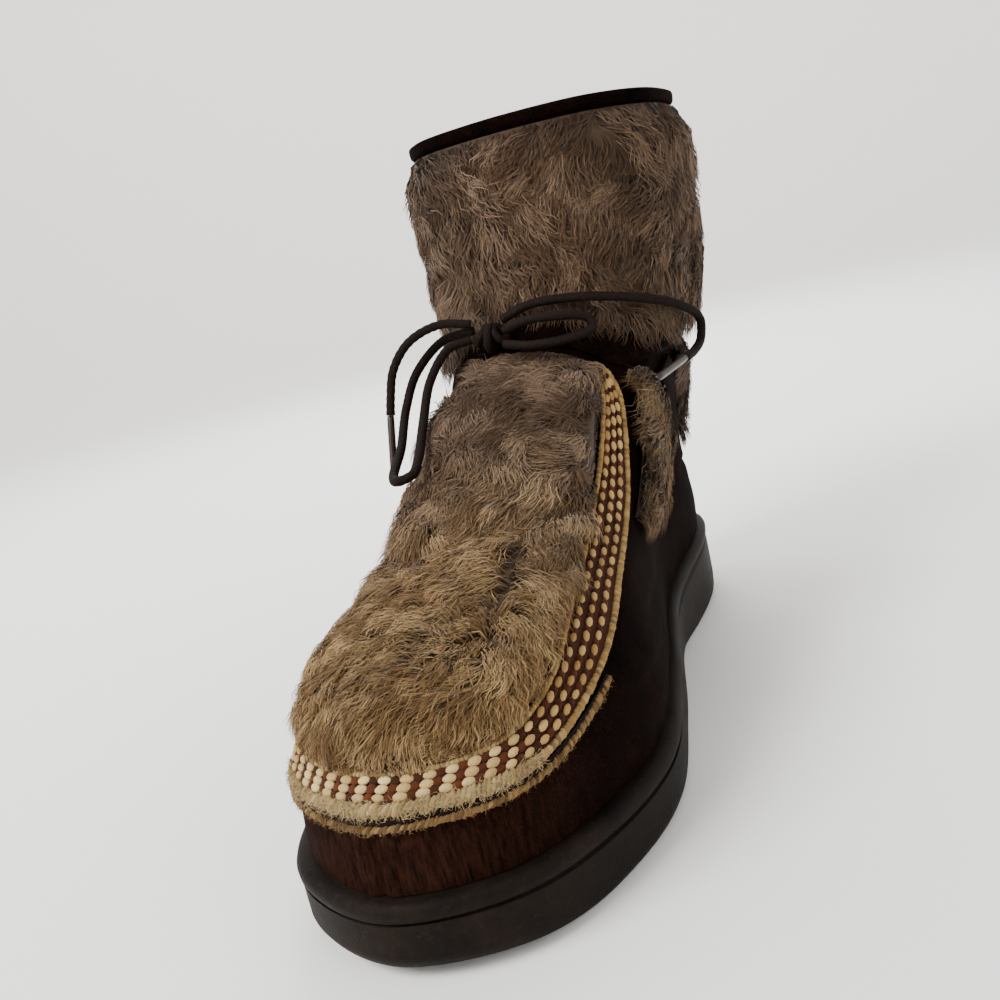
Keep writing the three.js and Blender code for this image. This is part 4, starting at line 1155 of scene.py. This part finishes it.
def grow(name, place, pile, flow, count, locks, look, palette, seed,
         finish=fleece, slot="fleece", span=(0, 1)):
    """Hairs of one panel, or of the part of it between the shares in span. look holds sizes in
    millimetres, and palette gives the root and tip colours by place."""
    rng = np.random.default_rng(seed)
    a, b = spread_over(place, count, rng)
    la, lb = spread_over(place, locks, rng)
    u, v = place(a, b)
    root, lock_root = skin(u, v), skin(*place(la, lb))
    normal, down, side = skin_axes(u, v)
    tree = KDTree(locks)
    for n, spot in enumerate(lock_root):
        tree.insert(spot, n)
    tree.balance()
    jitter = rng.normal(0, 0.9 * MM, root.shape)
    mine = np.array([tree.find(spot)[1] for spot in root + jitter])
    deep = pile(a, b)
    # lock values
    turn = flow(la, lb) + look["wander"] * drift(lock_root) + rng.normal(0, 0.18, locks)
    long = rng.uniform(0.8, 1.2, locks)
    tall = rng.uniform(0.78, 1.1, locks)
    wave = rng.uniform(0.5, 1.3, locks) * look["curl"] * MM
    phase = rng.uniform(0, 2 * math.pi, locks)
    tone = rng.normal(0, 1, locks)
    # hair values
    angle = turn[mine] + rng.normal(0, look["stray"], count)
    way = down * np.cos(angle)[:, None] + side * np.sin(angle)[:, None]
    cross = np.cross(normal, way)
    up = mix(span[0], span[1], b)
    trim = mix(look["edge"], 1, ease(0, 0.13, to_edge(a, up)))
    trim *= mix(0.4, 1, ease(0, 15 * MM, np.linalg.norm(root - WHORL, axis=1)))
    length = look["length"] * MM * long[mine] * rng.uniform(0.8, 1.15, count) * trim
    drawn = (lock_root[mine] - root) * look["gather"] * rng.uniform(0.1, 1, (count, 1))
    drawn -= normal * (drawn * normal).sum(1, keepdims=True)
    rows = np.linspace(0, 1, look["rows"])
    spine = []
    for t in rows:
        high = tall[mine] * rng.uniform(0.94, 1.06, count)
        lift = deep * mix(0.3, high, np.sin(0.5 * math.pi * min(1, 1.35 * t)))
        lift = lift - look["droop"] * MM * t ** 2.5
        turned = 2 * math.pi * look["waves"] * t + phase[mine]
        swing = wave[mine] * t * np.sin(turned)
        bob = 0.6 * wave[mine] * t * np.cos(turned)
        middle = root + way * (length * t ** 1.25)[:, None] + drawn * t ** 1.2
        spine.append(middle + normal * (lift + bob)[:, None] + cross * swing[:, None])
    spine = np.array(spine)
    tangent = unit(np.gradient(spine, axis=0))
    flat = unit(np.cross(tangent, normal[None]))
    roll = rng.normal(0, 0.5, count)
    flat = flat * np.cos(roll)[None, :, None] + np.cross(tangent, flat) * np.sin(roll)[None, :, None]
    width = look["width"] * MM * (1 - rows ** 1.6)[:, None, None] / 2 + 0.02 * MM
    left, right = spine - flat * width, spine + flat * width
    pairs = np.stack([left[:-1], right[:-1]], 2).transpose(1, 0, 2, 3).reshape(count, -1, 3)
    points = np.concatenate([pairs, spine[-1][:, None]], 1)
    size = points.shape[1]
    first = (np.arange(count) * size)[:, None]
    faces = []
    for k in range(look["rows"] - 2):
        faces += (first + np.array([2 * k, 2 * k + 1, 2 * k + 3, 2 * k + 2])).tolist()
    faces += (first + np.array([size - 3, size - 2, size - 1])).tolist()
    low, high = palette(root, tone[mine], rng)
    # each hair runs from a dark root to its own colour at the tip: the dark root is painted shade deep in
    # the pile
    shade_fade_to_tip = np.append(np.repeat(rows[:-1], 2), 1.0) ** 0.7
    tints = mix(low[:, None], high[:, None], shade_fade_to_tip[None, :, None])
    return dressed(joined(name, points, faces, tints), finish, slot)


# %% Colours of the fleece
# along the boot, the fleece turns from golden to grey between these places
GREYING = (-0.2, -0.09)


def palette(root, tone, rng, grey=1.0):
    """Golden olive-brown at the toe, greyer up the instep and shaft, each lock a tone of its own."""
    count = len(tone)
    up = grey * ease(*GREYING, root[:, 1])[:, None]
    # low, the colour at the roots, is dark as painted shade deep in the pile
    low = mix(linear("#2e1f0e"), linear("#20150c"), up)
    gold = mix(linear("#664b29"), linear("#43301f"), up)
    light = mix(linear("#ae8f62"), linear("#846c56"), up)
    pale = np.clip(0.27 + 0.3 * tone + rng.normal(0, 0.2, count), 0, 1)[:, None]
    high = mix(gold, light, pale)
    cloud = 1 + 0.16 * np.sin(root[:, 0] * 95 + 1) * np.sin(root[:, 1] * 70)
    return low * np.clip(cloud, 0.7, 1.2)[:, None], high * cloud[:, None]


def quarter_palette(root, tone, rng):
    low, high = palette(root, tone, rng, grey=0.35)
    return low, 0.85 * high


def yarn_palette(root, tone, rng):
    return shades(len(tone), "#5d4d36", CREAM_DIRTY), shades(len(tone), "#8d7752", "#bca67a")


def tape_palette(root, tone, rng):
    return shades(len(tone), "#3a2816", "#5c4528"), shades(len(tone), "#6b5231", "#92764a")


# %% [markdown]
# The vamp is the big panel inside the braid. Its fleece is brushed forward and to the outer side over
# the toe, turns in a whorl near the ball, parts at a crease across the instep and is long and curly
# above it. The panel is grown as four pieces.

# %% Vamp panel
SIDE_ROW = 5
PILE = 9 * MM
PILE_EDGE = 4.5 * MM
PART_DEPTH = 3.2 * MM
FLANK_DROP = 2.8 * MM


def plug_half(v):
    rows = BRAID[SIDE_ROW:]
    return np.interp(v, rows[:, 3], rows[:, 2])


def vamp_place(a, b):
    signed = 2 * np.clip(a, 0, 1) - 1
    row = between(BRAID, np.abs(signed) * SIDE_ROW)
    share = row[..., 2] / BRAID[SIDE_ROW, 2]
    top = strap_low(share * BRAID[BRAID_END, 2] / STATIONS) - STRAP_CLEAR
    v = mix(row[..., 3] + 0.12, top, np.clip(b, 0, 1))
    return np.sign(signed) * share * (plug_half(v) - 0.12) / STATIONS, v


WHORL_PLACE = (0.7, 0.25)
WHORL = skin(*vamp_place(*[np.array([share]) for share in WHORL_PLACE]))


def vamp_pile(a, b):
    border = np.minimum(np.minimum(1.6 * (1 - np.abs(2 * a - 1)), 3 * b), 4 * (1 - b))
    swell = 0.7 * MM * np.sin(9 * a + 2) * np.sin(11 * b + 1) * ease(0, 0.4, border)
    part = PART_DEPTH * np.exp(-((b - 0.55 - 0.12 * (a - 0.5)) / 0.035) ** 2)
    flank = FLANK_DROP * np.exp(-((a - 0.2) / 0.16) ** 2 - ((b - 0.3) / 0.2) ** 2)
    return mix(0.75 * PILE_EDGE, PILE, ease(0, 0.42, border)) + swell - part - flank


def vamp_flow(a, b):
    """Angle from straight down, towards the inner side where positive."""
    whorl = np.arctan2(a - WHORL_PLACE[0], WHORL_PLACE[1] - b)
    near = 0.8 * np.exp(-((a - WHORL_PLACE[0]) ** 2 + (b - WHORL_PLACE[1]) ** 2) / 0.05)
    brushed = -0.7 + 0.5 * np.sin(5 * a + 9 * b) * b + 0.8 * ease(0.78, 1, a) + 0.5 * ease(0.3, 0, a)
    return mix(brushed, whorl, near)


def part_of(whole, low, high):
    """The same function of shares across and up, for the part of a panel from low to high."""
    return lambda a, b: whole(a, mix(low, high, b))


MAT_SHARE = 0.62
MAT_EDGE = 0.9 * MM


def mat(name, place, pile, across, up, node, closed=False):
    """The underwool of a panel: low at the border, and inside a share of the pile's height."""
    def face(a, b):
        u, v = place(a, b) if closed else place(mix(0.03, 0.97, a), mix(0.03, 0.97, b))
        border = 4 * np.minimum(b, 1 - b) if closed else 6 * to_edge(a, b)
        x, y, z = (skin(u, v) / MM).T
        tufts = 0.5 * MM * np.sin(x * 1.7 + z) * np.sin(y * 1.9) * np.sin(z * 1.6)
        full = MAT_SHARE * pile(a, b) + tufts
        return surface(u, v, mix(MAT_EDGE, full, ease(0, 0.5, border)))
    piece = wrapped(name, across, up, face, 0.5 * MM, closed=closed)
    # the underwool's brown is darkened as painted shade deep in the pile
    flat_tint(piece, "#35271a")
    return dressed(piece, fleece, "fleece", node)


mat("vamp_underwool", vamp_place, vamp_pile, 80, 80, "vamp_fur")
TOE_LOOK = {"length": 9.5, "width": 0.44, "curl": 1.3, "waves": 1.1, "wander": 0.45, "stray": 0.26,
            "gather": 0.42, "droop": 2.5, "edge": 0.3, "rows": 5}
INSTEP_LOOK = {"length": 13, "width": 0.48, "curl": 2.1, "waves": 1.2, "wander": 0.6, "stray": 0.25,
               "gather": 0.5, "droop": 2.0, "edge": 0.7, "rows": 6}
VAMP_PARTS = [
    {"part": "toe", "low": 0, "high": 0.3, "hairs": 12500, "locks": 230, "look": TOE_LOOK},
    {"part": "ball", "low": 0.3, "high": 0.56, "hairs": 12500, "locks": 200, "look": TOE_LOOK},
    {"part": "instep", "low": 0.56, "high": 0.8, "hairs": 12500, "locks": 125, "look": INSTEP_LOOK},
    {"part": "ankle", "low": 0.8, "high": 1, "hairs": 8500, "locks": 90, "look": INSTEP_LOOK},
]
for n, row in enumerate(VAMP_PARTS):
    low, high = row["low"], row["high"]
    grow("vamp_fleece_" + row["part"], part_of(vamp_place, low, high), part_of(vamp_pile, low, high),
         part_of(vamp_flow, low, high), row["hairs"], row["locks"], row["look"], palette, 40 + n,
         span=(low, high))
print("vamp hairs:", sum(row["hairs"] for row in VAMP_PARTS))

# %% [markdown]
# The other panels are the same skin: two quarters between braid and heel strap, one over the heel,
# and a deep ring round the shaft. Their fleece hangs down with its own curl.

# %% Side, heel and shaft panels
SHAFT_PILE = 8 * MM
# front station and ring, back station and ring
QUARTER = np.array([
    (3.38, 5.7, 5.05, 3.5), (3.4, 7.2, 5.3, 5.4), (2.98, 8.8, 4.45, 7.8), (2.25, 10.08, 2.95, 9.95),
])
HEEL_FUR = np.array([(6.45, 4.6), (6.35, 6.2), (5.75, 8.3), (4.6, 10.02)])


def quarter_place(side):
    def place(a, b):
        row = between(QUARTER, np.clip(b, 0, 1) * (len(QUARTER) - 1))
        share = a if side > 0 else 1 - a
        return side * mix(row[..., 0], row[..., 2], share) / STATIONS, mix(row[..., 1], row[..., 3], share)
    return place


def heel_place(a, b):
    row = between(HEEL_FUR, np.clip(b, 0, 1) * (len(HEEL_FUR) - 1))
    return mix(row[..., 0], STATIONS - row[..., 0], a) / STATIONS, row[..., 1]


def shaft_place(a, b):
    start = strap_low(a) + STRAP_RISE + STRAP_CLEAR
    return a, mix(start, SHAFT_FUR_TOP, np.clip(b, 0, 1))


def panel_pile(a, b):
    return mix(PILE_EDGE, SHAFT_PILE, ease(0, 0.3, 2 * to_edge(a, b)))


def shaft_pile(a, b):
    swell = 0.6 * MM * np.sin(9 * 2 * math.pi * a) * np.sin(9 * b)
    return mix(PILE_EDGE, SHAFT_PILE, ease(0, 0.3, 4 * np.minimum(b, 1 - b))) + swell


def hanging(a, b):
    return 0.35 * np.sin(11 * a + 5 * b)


SIDE_LOOK = dict(INSTEP_LOOK, length=13, width=0.52, curl=1.7, gather=0.5, edge=0.85, rows=5)
QUARTER_HAIRS, HEEL_HAIRS, SHAFT_HAIRS = 5000, 8000, 26000
for side, word in ((1, "inner"), (-1, "outer")):
    mat(f"quarter_underwool_{word}", quarter_place(side), panel_pile, 24, 24, f"quarter_fur_{word}")
    grow(f"quarter_fleece_{word}", quarter_place(side), panel_pile, hanging, QUARTER_HAIRS, 80,
         SIDE_LOOK, quarter_palette, 60 + side)
mat("heel_underwool", heel_place, panel_pile, 36, 24, "heel_fur")
grow("heel_fleece", heel_place, panel_pile, hanging, HEEL_HAIRS, 110, SIDE_LOOK, palette, 70)
mat("shaft_underwool", shaft_place, shaft_pile, 180, 28, "shaft_fur", closed=True)
grow("shaft_fleece", shaft_place, shaft_pile, hanging, SHAFT_HAIRS, 420, SIDE_LOOK, palette, 80)
print("hairs of the other panels:", 2 * QUARTER_HAIRS + HEEL_HAIRS + SHAFT_HAIRS)

# %% [markdown]
# Yarn is fuzzy. Short loose fibres stand on the thick cream cord round the toe, and the tan cord of the
# tape has frayed a little. Inside the collar short tufts of the lining show, so their pile is negative.

# %% Fuzz of the yarn and tufts of the lining
def cord_place(a, b):
    return braid_place(mix(-2.7, 2.7, a), mix(0.7, 1.0, b))


def fray_place(a, b):
    return tape_place(mix(-TAPE_END, TAPE_END, a), mix(0.1, 0.45, b))


def rim_place(a, b):
    return a, mix(TOP - 2.4, TOP - 0.2, b)


def rim_palette(root, tone, rng):
    return shades(len(tone), "#4d3f2c", "#66543a"), shades(len(tone), "#8a7654", "#b5a078")


FUZZ_LOOK = {"length": 2.2, "width": 0.15, "curl": 0.8, "waves": 1.2, "wander": 1.5, "stray": 1.3,
             "gather": 0.1, "droop": 0.3, "edge": 1, "rows": 4}
LOOSE = [
    {"name": "cord_fuzz", "place": cord_place, "lift": (3.3, 3.0), "hairs": 1500, "locks": 300,
     "look": FUZZ_LOOK, "palette": yarn_palette, "finish": yarn, "slot": "braid"},
    {"name": "tape_fray", "place": fray_place, "lift": (2.2, 2.2), "hairs": 700, "locks": 150,
     "look": dict(FUZZ_LOOK, length=1.3), "palette": tape_palette, "finish": yarn, "slot": "tape"},
    {"name": "lining_tufts", "place": rim_place, "lift": (-6.6, -6.6), "hairs": 4000, "locks": 260,
     "look": dict(FUZZ_LOOK, length=6, width=0.8, wander=0.6, stray=0.4),
     "palette": rim_palette, "finish": fleece, "slot": "lining"},
]
for n, row in enumerate(LOOSE):
    grow(row["name"], row["place"], lambda a, b: mix(*row["lift"], b) * MM, lambda a, b: 0 * a,
         row["hairs"], row["locks"], row["look"], row["palette"], 90 + n, row["finish"], row["slot"])
print("loose fibres:", sum(row["hairs"] for row in LOOSE))

# %% [markdown]
# Last, the count of triangles that the dressing adds.

# %% Sizes
added = {piece.name: triangles(piece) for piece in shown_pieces()
         if piece.type == "MESH" and "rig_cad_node" not in piece}
for name, count in added.items():
    print(name, count)
print("triangles added:", sum(added.values()))
